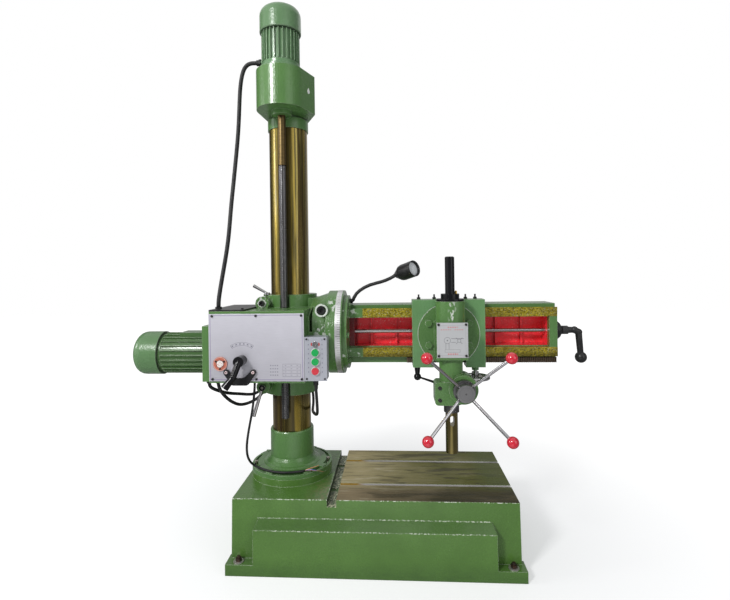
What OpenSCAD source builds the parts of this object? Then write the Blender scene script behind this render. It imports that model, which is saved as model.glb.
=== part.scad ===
/* [Base] */
// Length of the base casting along X
base_l = 925; // [900:1:1000]
// Width of the base casting along Y
base_w = 430; // [420:1:480]
// Height from the floor to the work table
base_h = 230; // [210:1:260]
// Wall thickness of the hollow base
base_wall = 20; // [14:1:24]
// Thickness of the casting under the work table
table_t = 48; // [42:1:60]
// Distance from the base's left face to the column axis
column_inset = 151.5; // [148:0.5:158]
// How far the column axis lies behind the base's middle
column_back = 16; // [8:1:24]
// Length of the machined work table
table_l = 583; // [560:1:586]
// Width of the coolant gutter
gutter_w = 30; // [20:1:34]
// Depth of the coolant gutter
gutter_d = 22; // [14:1:26]
// Width of the throat of the table's T-slots
slot_w = 14; // [12:1:16]
// Width of the undercut of the T-slots
slot_head_w = 24; // [20:1:28]
// Depth of the T-slot throat
slot_throat = 14; // [10:1:16]
// Height of the T-slot undercut
slot_head_h = 11; // [8:1:13]
// Distance between the two T-slots
slot_pitch = 205; // [180:1:230]
// How far the raised panel stops short of each end of the base
panel_inset = 76.5; // [70:0.5:100]
// How far the raised panel stands out
panel_t = 38; // [25:1:38]
// Height of the raised panel's upright face
panel_h = 147; // [120:1:155]
// How much longer the base is at the floor than at the table, at each end
base_draft = 4.5; // [0:0.5:6]
// How far the feet stand out at the ends
foot_out_x = 13; // [10:1:20]
// How far the feet stand out at front and back
foot_out_y = 38; // [32:1:50]
// Height of a foot lug
foot_h = 36; // [28:1:44]
// Diameter of the anchor bolts
anchor_d = 14; // [12:1:16]

/* [Column] */
// Diameter of the column
column_d = 140; // [130:0.5:144]
// Wall thickness of the column
column_wall = 18; // [12:1:24]
// Height of the column's top above the work table
column_top = 1290; // [1270:1:1500]
// Diameter of the round pedestal
pedestal_d = 292; // [285:1:294]
// Height of the pedestal
pedestal_h = 24; // [22:1:32]
// Thickness of the swivel flange
flange_t = 18.5; // [14:0.5:24]
// Outer diameter of the column socket
socket_d = 158; // [154:1:166]
// Height of the socket's rim above the work table
socket_top = 164; // [140:1:164]
// Diameter of the cone at the foot of the socket
cone_d = 203; // [190:1:214]
// Diameter of the pivot spigot
spigot_d = 110; // [90:1:116]
// Radius of the ring slots' bolt circle in the pedestal
ring_slot_r = 132; // [128:1:133]

/* [Lift] */
// Diameter of the lead screw
screw_d = 28; // [24:1:30]
// Distance from the column axis forward to the lead screw
screw_off = 103; // [101:1:106]
// Height of the lead screw's lower end above the table
screw_low = 225; // [205:1:230]
// Height of the lift housing
lift_box_h = 135; // [120:1:160]
// Wall thickness of the lift housing
lift_wall = 10; // [7:1:14]
// Diameter of the lift motor over its fins
lift_motor_d = 134; // [120:1:140]
// Length of the lift motor's finned body
lift_body_h = 104; // [90:1:130]
// Length of the lift motor's fan cover
lift_cover_h = 88; // [70:1:100]

/* [Arm sleeve] */
// Outer diameter of the sleeve round the column
sleeve_d = 196; // [190:1:200]
// Height of the sleeve's lower end above the table
sleeve_low = 301; // [298:1:330]
// Length of the sleeve along the column
sleeve_h = 356; // [350:1:375]
// Radius of the round arm joint
joint_r = 147.5; // [144:0.5:152]
// Distance from the column axis to the arm joint's face
joint_x = 209; // [207:1:216]
// Distance from the column axis forward to the arm axis
arm_fwd = 40; // [36:1:44]
// Height of the arm axis above the table
arm_z = 521; // [515:1:530]

/* [Speed gearbox] */
// Distance from the column axis to the gearbox's left side
case_left = 215; // [208:1:230]
// Distance from the column axis to the gearbox's right side
case_right = 97; // [92:1:98]
// Distance from the column axis to the gearbox's front
case_front = 247; // [240:1:260]
// Height of the gearbox's underside above the table
case_low = 381; // [376:1:388]
// Height of the gearbox
case_h = 232; // [228:1:238]
// Wall thickness of the gearbox
case_wall = 10; // [6:1:11]
// Thickness of the aluminium front panel
panel_plate_t = 3; // [2:0.5:4]
// Diameter of the main motor over its fins
motor_d = 144; // [130:1:150]
// Length of the main motor's finned body
motor_body_l = 178; // [160:1:200]
// Length of the main motor's fan cover
motor_cover_l = 92; // [80:1:110]
// Module of the speed gears
gear_m = 2.5; // [2.5:0.05:2.6]

/* [Arm] */
// Length of the arm from its joint face
arm_l = 735; // [725:1:800]
// Height of the arm above its axis
arm_up = 96; // [92:1:99]
// Height of the arm below its axis
arm_down = 109; // [108:1:114]
// Depth of the arm behind its axis
arm_back = 90; // [80:1:100]
// How far the guide ways stand forward of the arm's web
way_out = 25; // [24:1:26]
// Diameter of the drive shaft along the arm
shaft_d = 15; // [12:0.5:16]
// Distance between the arm's inner ribs
rib_pitch = 90; // [80:1:110]

/* [Saddle and head] */
// Length of the saddle along the arm
saddle_l = 244; // [240:1:260]
// Distance from the arm joint's face to the head's centre
head_x = 360; // [340:1:380]
// Radius of the head's swivel disc
disc_r = 102.5; // [98:0.5:106]
// Distance from the arm axis forward to the spindle axis
spindle_fwd = 145; // [144:1:150]
// Diameter of the quill
quill_d = 50; // [46:1:52]
// Diameter of the spindle nose
nose_d = 40; // [36:1:42]
// Distance from the arm axis down to the spindle's nose face
nose_drop = 379; // [370:1:385]
// Large diameter of the spindle's taper socket
taper_d = 23.8; // [20:0.1:25]
// Radius from the feed hub to the ball knobs
feed_r = 173; // [150:1:176]
// Diameter of the red ball knobs
ball_d = 35; // [30:1:38]
// Diameter of the feed handle's rods
feed_rod_d = 10; // [8:1:12]
// Module of the feed rack
feed_m = 1.5; // [1.5:0.01:1.55]
// Diameter of the traverse handwheel
wheel_d = 100; // [80:1:104]

/* [Hidden] */

run = 0.05;
gap = 0.3;
green = "#5f8c52";
red = "#b9202a";
steel = "#b9bcc0";
iron = "#6b6d70";
black = "#1d1e20";
column_x = -base_l / 2 + column_inset;
gutter_x = base_l / 2 - table_l - gutter_w;
slot_mid = 5;
panel_rise = 21;
panel_l = base_l - 2 * panel_inset;
anchor_x = base_l / 2 - 26;
anchor_y = base_w / 2 + foot_out_y / 2;
swivel_top = pedestal_h + flange_t;
spigot_l = 30;
ring_w = 13;
ring_head_w = 20;
ring_throat = 12;
ring_head_h = 9;
clamp_d = 10;
box_low = column_top + 13;
box_top = box_low + lift_box_h;
lift_flange_t = 28;
lift_fan_z = box_top + lift_flange_t + lift_body_h + 4;
sleeve_top = sleeve_low + sleeve_h;
case_top = case_low + case_h;
pad_front = screw_off + 25;
case_back = 0;
panel_y = -case_front - panel_plate_t;
panel_mid = case_low + 115;
panel_hh = 109;
boss_x = 142;
boss_z = sleeve_top - 50;
switch_w = 72;
switch_h = 141;
switch_d = 60;
switch_x = case_right + 1 + switch_w / 2;
switch_z = case_low + 7 + switch_h / 2;
motor_plate_t = 25;
motor_z = arm_z - 63;
z_pinion = 20;
z_wheel = 40;
z_final = 68;
layshaft_fwd = arm_fwd + gear_m * (z_pinion + z_final) / 2;
pair = gear_m * (z_pinion + z_wheel) / 2;
motor_fwd = layshaft_fwd - sqrt(pair * pair - 63 * 63);
arm_y = -arm_fwd;
web_y = arm_y - 22;
way_y = web_y - way_out;
way_h = 32;
way_mid = 69;
arm_x0 = joint_x + 15;
arm_x1 = joint_x + arm_l;
rack_m = 2;
rack_pitch = PI * rack_m;
rack_z = arm_z - arm_down + 1;
rack_h = 18;
rack_front = web_y - 14.5;
wheel_teeth = 18;
wheel_r = rack_m * wheel_teeth / 2;
head_cx = joint_x + head_x;
saddle_x0 = head_cx - saddle_l / 2;
saddle_y = way_y - 48;
spindle_y = arm_y - spindle_fwd;
feed_teeth = 16;
feed_pr = feed_m * feed_teeth / 2;
feed_x = head_cx + quill_d / 2 - 3 + feed_pr;
feed_z = arm_z - 165;
feed_pitch = PI * feed_m;
wheel_x = head_cx + 93.5;
wheel_y = rack_front + rack_m - wheel_r;
lever_x = head_cx - 106;

// Children stand at the column axis, level with the work table
module at_column() translate([column_x, column_back, base_h]) children();

// A round bar along X
module bar_x(x0, x1, d)
  translate([x0, 0, 0]) rotate([0, 90, 0]) cylinder(d = d, h = x1 - x0, $fn = 48);

// A round bar along Y
module bar_y(y0, y1, d) translate([0, y0, 0]) rotate([-90, 0, 0]) cylinder(d = d, h = y1 - y0, $fn = 48);

// An upright round bar
module bar_z(z0, z1, d) translate([0, 0, z0]) cylinder(d = d, h = z1 - z0, $fn = 64);

// A box from its low corner to its high corner
module span(a, b) translate(a) cube([b[0] - a[0], b[1] - a[1], b[2] - a[2]]);

// A hexagon head along Z
module hex(af, h) cylinder(d = af / cos(30), h = h, $fn = 6);

// A round bar between two points
module rod(a, b, d1, d2) {
  v = b - a;
  translate(a)
    rotate([0, acos(v[2] / norm(v)), atan2(v[1], v[0])])
      cylinder(d1 = d1, d2 = d2, h = norm(v), $fn = 32);
}

// The outline of a spur gear with straight-flanked teeth
function tooth_xy(m, z, a, r, t) = [r * cos(a + t), r * sin(a + t)];
module gear_outline(m, z) {
  rp = m * z / 2;
  step = 360 / z;
  polygon([for (i = [0:z - 1]) each [
    tooth_xy(m, z, i * step, rp - 1.15 * m, -0.34 * step),
    tooth_xy(m, z, i * step, rp, -0.22 * step),
    tooth_xy(m, z, i * step, rp + 0.8 * m, -0.12 * step),
    tooth_xy(m, z, i * step, rp + 0.8 * m, 0.12 * step),
    tooth_xy(m, z, i * step, rp, 0.22 * step),
    tooth_xy(m, z, i * step, rp - 1.15 * m, 0.34 * step)]]);
}

// A gear on an axis along X, with a tooth or a gap towards dir = [dy, dz]
module gear_x(x0, w, m, z, dir, use_gap) {
  turn = atan2(dir[0], -dir[1]) + (use_gap ? 180 / z : 0);
  translate([x0, 0, 0]) rotate([0, 90, 0]) rotate(turn) linear_extrude(w) gear_outline(m, z);
}

// Tube swept along a list of points, with flat ends
function unit(v) = v / norm(v);
function side(t) = abs(t[2]) > 0.9 ? unit(cross(t, [0, 1, 0])) : unit(cross(t, [0, 0, 1]));
function heading(p, i) = unit(p[min(i + 1, len(p) - 1)] - p[max(i - 1, 0)]);
function carried(p, i) = i == 0 ? side(heading(p, 0)) :
  let (u = carried(p, i - 1), t = heading(p, i)) unit(u - t * (u * t));
function ring(p, i, r, n) =
  let (t = heading(p, i), u = carried(p, i), w = cross(t, u))
  [for (k = [0:n - 1]) p[i] + r * (cos(360 * k / n) * u + sin(360 * k / n) * w)];
module sweep_tube(p, d, n) {
  count = len(p);
  pts = [for (i = [0:count - 1]) each ring(p, i, d / 2, n)];
  sides = [for (i = [0:count - 2]) for (k = [0:n - 1]) each [
    [i * n + k, (i + 1) * n + k, i * n + (k + 1) % n],
    [i * n + (k + 1) % n, (i + 1) * n + k, (i + 1) * n + (k + 1) % n]]];
  lids = [for (k = [1:n - 2]) each [[0, k, k + 1],
    [(count - 1) * n, (count - 1) * n + k + 1, (count - 1) * n + k]]];
  polyhedron(points = pts, faces = concat(sides, lids));
}

// Cable routes, measured from the column axis and the work table
conduit_d = 14;
cable_d = 11;
station_d = 10;
supply_d = 8;
gland_z = box_top + 38;
conduit_path = [[-86.3, -103, 1476], [-98, -103, 1477], [-112, -103, 1476], [-124, -103, 1469],
  [-134, -103, 1455], [-141, -103, 1430], [-146, -103, 1400], [-149, -103, 1360], [-151, -103, 1320],
  [-154, -105, 1243], [-161, -107, 1170], [-168, -110, 1101], [-171, -118, 1045], [-174, -130, 992],
  [-177, -140, 921], [-180, -150, 852], [-187, -160, 790], [-195, -170, 731], [-199, -180, 690],
  [-202, -188, 655], [-203, -190, 640], [-203, -190, 624.3]];
motor_cable_path = [[-228, -215, 373.7], [-228, -215, 364], [-225, -203, 354], [-219, -183, 343],
  [-210, -158, 331], [-198, -125, 317], [-186, -95, 308], [-177, -65, 300], [-168, -30, 289],
  [-160, 10, 278], [-152, 50, 271], [-142, 85, 276], [-133, 112, 294], [-128, 132, 325],
  [-126, 141, 360], [-126, 142, 389.7]];
control_cable_path = [[-204, -200, 370.7], [-203, -198, 356], [-199, -190, 340], [-192, -178, 322],
  [-182, -156, 300], [-170, -125, 279], [-161, -92, 267], [-153, -50, 261], [-148, -10, 257],
  [-147, 35, 253], [-146, 70, 253], [-139, 98, 261], [-124, 120, 284], [-112, 134, 320],
  [-105, 141, 355], [-104, 142, 389.7]];
station_path = [[129, -222, 368.7], [129, -222, 352], [130, -219, 335], [130, -213, 312], [129, -202, 290],
  [127, -186, 270], [122, -168, 256], [113, -145, 250], [102, -115, 247], [93, -80, 241], [86, -45, 234],
  [80, -10, 232], [76, 25, 237], [72, 55, 251], [64, 85, 276], [51, 112, 310], [38, 135, 345],
  [31, 148, 370], [30, 150, 389.7]];
supply_path = [[-92, -160, 372.7], [-92, -160, 356], [-94, -158, 335], [-97, -155, 312], [-101, -152, 286],
  [-106, -150, 258], [-111, -150, 232], [-117, -150, 204], [-122, -150, 175], [-127, -148, 145],
  [-130, -138, 114], [-131, -122, 90], [-129, -105, 70], [-124, -92, 56], [-115, -88, 48.5],
  [-104, -94, 46.8], [-88, -106, 46.8], [-66, -121, 46.8], [-38, -132, 46.8], [-12, -137, 46.8],
  [14, -137, 46.8], [38, -131, 46.8], [56, -125, 46.8], [68, -119, 46.8]];
lamp_path = [[230, -10, 628], [235, -10, 631], [239, -10, 641], [248, -10, 655], [260, -10, 666],
  [277, -10, 677], [297, -10, 686], [320, -10, 692.5], [342, -10, 698], [358, -10, 703.5],
  [373, -10, 710], [384, -10.5, 716], [392, -12, 720.5]];
lamp_end = [392, -12, 720.5];
lamp_lens = [459, -75, 745];

// The raised panel and the two foot lugs of the front
module base_front() {
  intersection() {
    translate([-panel_l / 2 - 10, -base_w / 2, 0]) rotate([90, 0, 90]) linear_extrude(panel_l + 20)
      polygon([[0, 0], [-panel_t, 0], [-panel_t, panel_h], [0, panel_h + panel_rise],
        [6, panel_h + panel_rise], [6, 0]]);
    rotate([90, 0, 0]) linear_extrude(base_w)
      polygon([[-panel_l / 2, -1], [panel_l / 2, -1], [panel_l / 2 - 2, panel_h],
        [panel_l / 2 - 12, panel_h + panel_rise + 1], [12 - panel_l / 2, panel_h + panel_rise + 1],
        [2 - panel_l / 2, panel_h]]);
  }
  for (s = [-1, 1]) scale([s, 1, 1]) span([panel_l / 2 - 8, -base_w / 2 - foot_out_y, 0],
    [base_l / 2 + foot_out_x, -base_w / 2 + base_wall, foot_h]);
}

module base_hollow() {
  wall = base_wall;
  difference() {
    union() {
      span([-base_l / 2 + wall, -base_w / 2 + wall, -1], [gutter_x - wall, base_w / 2 - wall, base_h - 34]);
      span([gutter_x + gutter_w + wall, -base_w / 2 + wall, -1],
        [base_l / 2 - wall, base_w / 2 - wall, base_h - table_t]);
    }
    for (x = [-1, 1]) for (y = [-1, 1])
      translate([x * (base_l / 2 - 38), y * (base_w / 2 - 22), 34]) cube([80, 54, 90], center = true);
    at_column() bar_z(-90, 0, spigot_d + 36);
  }
}

module base_casting() color(green) difference() {
  union() {
    translate([0, base_w / 2, 0]) rotate([90, 0, 0]) linear_extrude(base_w)
      polygon([[-base_l / 2 - base_draft, 0], [base_l / 2 + base_draft, 0], [base_l / 2, base_h],
        [-base_l / 2, base_h]]);
    base_front();
    mirror([0, 1, 0]) base_front();
    at_column() bar_z(-1, pedestal_h, pedestal_d);
  }
  base_hollow();
  span([gutter_x, -base_w, base_h - gutter_d], [gutter_x + gutter_w, base_w, base_h + 1]);
  for (s = [-1, 1]) translate([0, slot_mid + s * slot_pitch / 2, 0]) {
    span([gutter_x, -slot_w / 2, base_h - slot_throat - 1], [base_l, slot_w / 2, base_h + 1]);
    span([gutter_x, -slot_head_w / 2, base_h - slot_throat - slot_head_h],
      [base_l, slot_head_w / 2, base_h - slot_throat]);
  }
  at_anchors() bar_z(-1, foot_h + 1, anchor_d + 2);
  at_column() {
    bar_z(pedestal_h - spigot_l, pedestal_h + 1, spigot_d + 2 * run);
    rotate_extrude($fn = 128) {
      translate([ring_slot_r - ring_w / 2, pedestal_h - ring_throat - 1])
        square([ring_w, ring_throat + 2]);
      translate([ring_slot_r - ring_head_w / 2, pedestal_h - ring_throat - ring_head_h])
        square([ring_head_w, ring_head_h]);
    }
  }
}

module at_anchors() for (x = [-1, 1]) for (y = [-1, 1])
  translate([x * anchor_x, y * anchor_y, 0]) children();

module anchor_bolts() color(iron) at_anchors() {
  bar_z(1, foot_h + 18, anchor_d - 2);
  translate([0, 0, foot_h + 3]) hex(anchor_d * 1.3, 9);
  bar_z(foot_h, foot_h + 3, 2.4 * anchor_d);
}

module at_ring_bolts() for (a = [5, 95, 193]) rotate(a) translate([ring_slot_r, 0, 0]) children();
module at_lands() for (a = [66, 123, 156, 246, 303, 336])
  rotate(a) translate([ring_slot_r, 0, 0]) children();

module swivel_flange() color(green) at_column() difference() {
  union() {
    bar_z(pedestal_h, swivel_top - 4, pedestal_d);
    bar_z(pedestal_h, swivel_top, 2 * ring_slot_r - ring_w);
    at_lands() span([-12, -13, pedestal_h], [9, 13, swivel_top]);
    bar_z(pedestal_h - spigot_l + 1, pedestal_h, spigot_d);
    rotate_extrude($fn = 128)
      polygon([[0, swivel_top - 1], [cone_d / 2 + 3, swivel_top - 1], [cone_d / 2 + 3, swivel_top],
        [cone_d / 2, swivel_top + 3], [cone_d / 2 - 8, swivel_top + 6],
        [socket_d / 2 + 5, swivel_top + 16],
        [socket_d / 2, swivel_top + 26], [socket_d / 2, socket_top - 4], [socket_d / 2 - 2, socket_top],
        [0, socket_top]]);
  }
  difference() {
    rotate_extrude($fn = 128) translate([ring_slot_r - ring_w / 2, swivel_top - 10]) square([ring_w, 12]);
    at_lands() span([-12, -13, pedestal_h], [12, 13, swivel_top + 3]);
  }
  bar_z(swivel_top - 12, socket_top + 1, column_d + 2 * run);
  bar_z(pedestal_h - spigot_l, socket_top, column_d - 2 * column_wall - 16);
  at_ring_bolts() bar_z(pedestal_h - 1, swivel_top + 1, clamp_d + 1);
}

module swivel_clamp_bolts() color(iron) at_column() at_ring_bolts() {
  bar_z(pedestal_h - ring_throat - 7, pedestal_h - ring_throat, ring_head_w - 4);
  bar_z(pedestal_h - ring_throat - 1, swivel_top - 9, clamp_d);
  bar_z(swivel_top - 10, swivel_top + 2, ring_w - 1);
}

module column_tube() color("#8d7a2c") at_column() difference() {
  bar_z(swivel_top - 12, column_top, column_d);
  bar_z(swivel_top - 13, column_top + 1, column_d - 2 * column_wall);
}

module lift_outline(inset) hull() {
  translate([0, -screw_off]) circle(r = 86 - inset, $fn = 64);
  circle(r = 78 - inset, $fn = 64);
  translate([106 - inset, -56]) circle(r = 5, $fn = 24);
}

module at_screw() at_column() translate([0, -screw_off, 0]) children();

module lift_housing() color(green) difference() {
  union() {
    at_column() translate([0, 0, box_low]) linear_extrude(lift_box_h) lift_outline(0);
    at_screw() bar_z(box_low - 16, box_low + 1, 2.5 * screw_d);
    at_column() bar_z(column_top - 32, column_top + 5, column_d + 8);
    at_column() bar_z(column_top, box_low + 1, column_d - 20);
  }
  at_column() bar_z(column_top - 33, column_top, column_d + 2 * run);
  at_column() translate([0, 0, box_low + lift_wall + 8])
    linear_extrude(lift_box_h - 2 * lift_wall - 8) lift_outline(lift_wall);
  at_screw() {
    bar_z(box_low - 17, box_top, screw_d + 2 * run);
    bar_z(box_top - lift_wall - 1, box_top + 1, 70);
  }
}

// A finned motor body standing on Z, from its flange face
module motor_fins(d, h, count) {
  bar_z(0, h, d - 16);
  for (i = [0:count - 1]) rotate(i * 360 / count + 360 / count / 2)
    translate([d / 2 - 10, -1.5, 0]) cube([9.5, 3, h]);
}

module lift_motor_body() color(green) at_screw() translate([0, 0, box_top]) difference() {
  union() {
    bar_z(0, 12, lift_motor_d + 12);
    bar_z(12, lift_flange_t, lift_motor_d - 6);
    translate([0, 0, lift_flange_t]) motor_fins(lift_motor_d, lift_body_h, 28);
    bar_z(lift_flange_t + lift_body_h, lift_flange_t + lift_body_h + 2, lift_motor_d - 10);
    bar_z(lift_flange_t + lift_body_h + 2, lift_flange_t + lift_body_h + 4, lift_motor_d + 7);
    translate([0, 0, gland_z - box_top]) rotate([0, -90, 0]) {
      translate([0, 0, lift_motor_d / 2 - 12]) cylinder(d = 20, h = 31, $fn = 48);
      translate([0, 0, lift_motor_d / 2 + 3]) hex(24, 7);
    }
  }
  bar_z(lift_flange_t, lift_flange_t + lift_body_h - 8, lift_motor_d - 54);
  bar_z(-1, lift_flange_t + lift_body_h + 5, 19 + 2 * run);
}

module fan_shell(d, h) rotate_extrude($fn = 96) {
  polygon(concat([[d / 2 - 3, 0], [d / 2, 0]],
    [for (a = [0:15:75]) [d / 2 - 32 + 32 * cos(a), h - 32 + 32 * sin(a)]],
    [[d / 2 - 32, h], [0, h], [0, h - 3]],
    [for (a = [75:-15:0]) [d / 2 - 32 + 29 * cos(a), h - 32 + 29 * sin(a)]]));
}

module lift_fan_cover() color(green) at_screw() translate([0, 0, lift_fan_z])
  fan_shell(lift_motor_d + 10, lift_cover_h);

module lift_rotor() color(iron) at_screw() translate([0, 0, box_top]) {
  bar_z(-40, lift_flange_t + lift_body_h + 40, 19);
  bar_z(lift_flange_t + 8, lift_flange_t + lift_body_h - 16, lift_motor_d - 56);
  bar_z(lift_flange_t + lift_body_h + 12, lift_flange_t + lift_body_h + 30, 90);
  difference() {
    bar_z(-82, -20, 52);
    bar_z(-83, -41, screw_d);
    bar_z(-41, -19, 19);
  }
}

module lead_screw() color(iron) at_screw() {
  bar_z(screw_low, box_top - 41, screw_d);
}

// The neck of the sleeve swells from the gearbox side to the round joint
module sleeve_neck() {
  translate([joint_x - 54, arm_y, arm_z]) bar_x(0, 54, 2 * joint_r);
  span([60, -60, case_low - 20], [case_right + 1, 78, sleeve_top - 14]);
  hull() {
    span([case_right, -layshaft_fwd - 42, case_low + 14], [case_right + 4, -100, case_top - 25]);
    span([case_right, -60, case_low - 20], [case_right + 4, 78, sleeve_top - 14]);
    translate([joint_x - 58, arm_y, arm_z]) rotate([0, 90, 0]) cylinder(r = joint_r - 8, h = 4, $fn = 64);
  }
}

module arm_sleeve() color(green) at_column() difference() {
  union() {
    bar_z(sleeve_low, sleeve_top, sleeve_d);
    span([-case_right + 4, -pad_front, case_low], [case_right, 0, case_top]);
    sleeve_neck();
    span([-60, 0, case_low + 30], [60, sleeve_d / 2 + 14, case_top - 20]);
    translate([0, -screw_off, 0]) bar_z(case_low - 15, case_low, 2 * screw_d + 2);
    for (z = [sleeve_low + 35, sleeve_top - 28]) translate([-76, 0, z]) bar_y(-114, -50, 48);
    translate([boss_x, 0, boss_z]) bar_y(-layshaft_fwd - 24, -80, 46);
  }
  span([case_right + 7, -220, arm_z + 17], [case_right + 16, -132, case_top + 20]);
  bar_z(sleeve_low - 1, sleeve_top + 1, column_d + 2 * run);
  translate([0, -screw_off, 0]) {
    bar_z(sleeve_low - 1, sleeve_top + 1, screw_d + 6);
    bar_z(case_low - 16, case_low + 40, 40 + 2 * run);
  }
  for (z = [sleeve_low + 35, sleeve_top - 28]) translate([-76, 0, z]) bar_y(-115, -78, 12 + 2 * run);
  translate([boss_x, 0, boss_z]) {
    bar_y(-layshaft_fwd - 25, -layshaft_fwd - 14, 32);
    bar_y(-layshaft_fwd - 25, -110, 16 + 2 * run);
  }
  translate([0, arm_y, arm_z]) {
    bar_x(joint_x - 51, joint_x - 11, 180);
    bar_x(joint_x - 12, joint_x + 1, 184 + 2 * run);
    bar_x(joint_x - 70, joint_x - 50, shaft_d + 2 * run);
    rotate([0, 90, 0]) translate([0, 0, joint_x]) rotate_extrude($fn = 128) {
      translate([112 - 7, -9]) square([14, 10]);
      translate([112 - 12, -17]) square([24, 9]);
    }
  }
  translate([0, -layshaft_fwd, arm_z]) {
    bar_x(joint_x - 51, joint_x - 25, 60);
    bar_x(case_right - 1, joint_x - 20, 18 + 2 * run);
  }
}

module socket_bolt(d, head, len) {
  difference() {
    bar_y(-head, 0, 1.6 * d);
    translate([0, -head - 1, 0]) rotate([-90, 0, 0]) hex(0.8 * d, 0.6 * head + 1);
  }
  bar_y(-0.5, len, d);
}

module sleeve_bolts() color(black) at_column() {
  translate([-76, -114, sleeve_top - 28]) socket_bolt(12, 10, 34);
  translate([boss_x, -layshaft_fwd - 14, boss_z]) socket_bolt(16, 12, 30);
}

module lift_nut() color("#b08a3a") at_screw() difference() {
  bar_z(case_low - 12, case_low + 39, 40);
  bar_z(case_low - 13, case_low + 41, screw_d + 2 * run);
}

module graduated_band() color(steel) at_column() translate([0, arm_y, arm_z])
  translate([joint_x - 22, 0, 0]) rotate([0, 90, 0]) difference() {
    cylinder(r = joint_r + 0.9, h = 18, $fn = 128);
    translate([0, 0, -1]) cylinder(r = joint_r + 0.05, h = 20, $fn = 128);
  }

module case_outline(t) polygon([
  [-case_left + t, -case_front + t], [case_right - t, -case_front + t], [case_right - t, -pad_front - t],
  [-case_right - 3 - t, -pad_front - t], [-case_right - 3 - t, case_back - t],
  [-case_left + t, case_back - t]]);

module gearbox_case() color(green) at_column() difference() {
  union() {
    translate([0, 0, case_low]) linear_extrude(case_h) case_outline(0);
    translate([-204, -200, 0]) bar_z(case_low - 10, case_low + 1, 18);
    translate([-92, -160, 0]) bar_z(case_low - 8, case_low + 1, 14);
  }
  translate([0, 0, case_low + case_wall]) linear_extrude(case_h - 2 * case_wall) case_outline(case_wall);
  span([-case_left + case_wall, -case_front + case_wall, case_top - case_wall - 1],
    [-case_right - 3 - case_wall, case_back - case_wall, case_top + 1]);
  translate([0, -layshaft_fwd, arm_z]) bar_x(-case_left + 3, case_right + 1, 18 + 2 * run);
  translate([0, -motor_fwd, motor_z]) bar_x(-case_left - 1, -case_left + case_wall + 1, 60);
  translate([shift_x, 0, shift_z]) bar_y(-case_front - 1, -case_front + case_wall + 1, 16 + 2 * run);
}

module gearbox_lid() color(black) at_column() {
  span([-case_left, -case_front, case_top], [-case_right - 3, case_back, case_top + 5]);
  for (y = [-case_front + 20, case_back - 20])
    translate([-case_right - 13, y, 0]) bar_z(case_top + 5, case_top + 9, 9);
  translate([-203, -190, 0]) bar_z(case_top + 5, case_top + 11, 22);
}

module front_panel() color(steel) at_column() difference() {
  span([-case_left, panel_y, panel_mid - panel_hh], [case_right, -case_front, panel_mid + panel_hh]);
  translate([shift_x, 0, shift_z]) bar_y(panel_y - 1, -case_front + 1, 16 + 2 * run);
}

module panel_screws() color(black) at_column() {
  for (x = [-case_left + 12, (case_right - case_left) / 2, case_right - 8]) for (s = [-1, 1])
    translate([x, 0, panel_mid + s * (panel_hh - 7)]) bar_y(panel_y - 2.5, panel_y, 8);
  for (x = [-1, 1]) for (s = [-1, 1])
    translate([switch_x + x * (switch_w / 2 - 7), 0, switch_z + s * (switch_h / 2 - 7)])
      bar_y(panel_y - 2, panel_y, 6);
}

shift_x = -106;
shift_z = case_low + 75;
button_z = [switch_z + 47, switch_z + 21, switch_z - 8, switch_z - 38];

module switch_box() color(steel) at_column() difference() {
  union() {
    span([switch_x - switch_w / 2, panel_y, switch_z - switch_h / 2],
      [switch_x + switch_w / 2, panel_y + 3, switch_z + switch_h / 2]);
    span([case_right, panel_y + 3, switch_z - switch_h / 2 + 2],
      [switch_x + switch_w / 2 - 2, -layshaft_fwd - 42, switch_z + switch_h / 2 - 2]);
    translate([129, -222, 0]) bar_z(switch_z - switch_h / 2 - 19, switch_z - switch_h / 2 + 3, 17);
  }
  span([switch_x - switch_w / 2 + 5, panel_y + 6, switch_z - switch_h / 2 + 5],
    [switch_x + switch_w / 2 - 5, -layshaft_fwd - 45, switch_z + switch_h / 2 - 5]);
  for (z = button_z) translate([switch_x - 1, 0, z]) bar_y(panel_y - 1, panel_y + 8, 18 + 2 * run);
}

module oil_sight() color("#b5634a") at_column() translate([-177, panel_y, case_low + 63]) {
  bar_y(-4, 0, 46);
  bar_y(-5, -3.5, 22);
  for (a = [90, 210, 330]) rotate([0, a, 0]) translate([16, 0, 0]) bar_y(-6, -3.5, 6);
}

module shift_quadrant() color(black) at_column() translate([-112, panel_y, case_low + 30]) {
  rotate([90, 0, 0]) linear_extrude(8) {
    hull() {
      translate([-44, 6]) circle(d = 18, $fn = 32);
      translate([-20, -24]) circle(d = 24, $fn = 32);
    }
    hull() {
      translate([-20, -24]) circle(d = 24, $fn = 32);
      translate([20, -24]) circle(d = 24, $fn = 32);
    }
    hull() {
      translate([20, -24]) circle(d = 24, $fn = 32);
      translate([44, 6]) circle(d = 18, $fn = 32);
    }
  }
  for (x = [-44, 44]) translate([x, 0, 6]) bar_y(-11, -7.5, 9);
}

module motor_plate() color(green) at_column() difference() {
  union() {
    span([-case_left - motor_plate_t, -case_front + 4, case_low + 3],
      [-case_left, case_back, case_low + 184]);
    translate([-228, -215, 0]) bar_z(case_low - 7, case_low + 4, 18);
  }
  translate([0, -motor_fwd, motor_z]) bar_x(-case_left - motor_plate_t - 1, -case_left + 1, 60);
}

module at_motor() at_column()
  translate([-case_left - motor_plate_t, -motor_fwd, motor_z]) rotate([0, -90, 0]) children();

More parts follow.
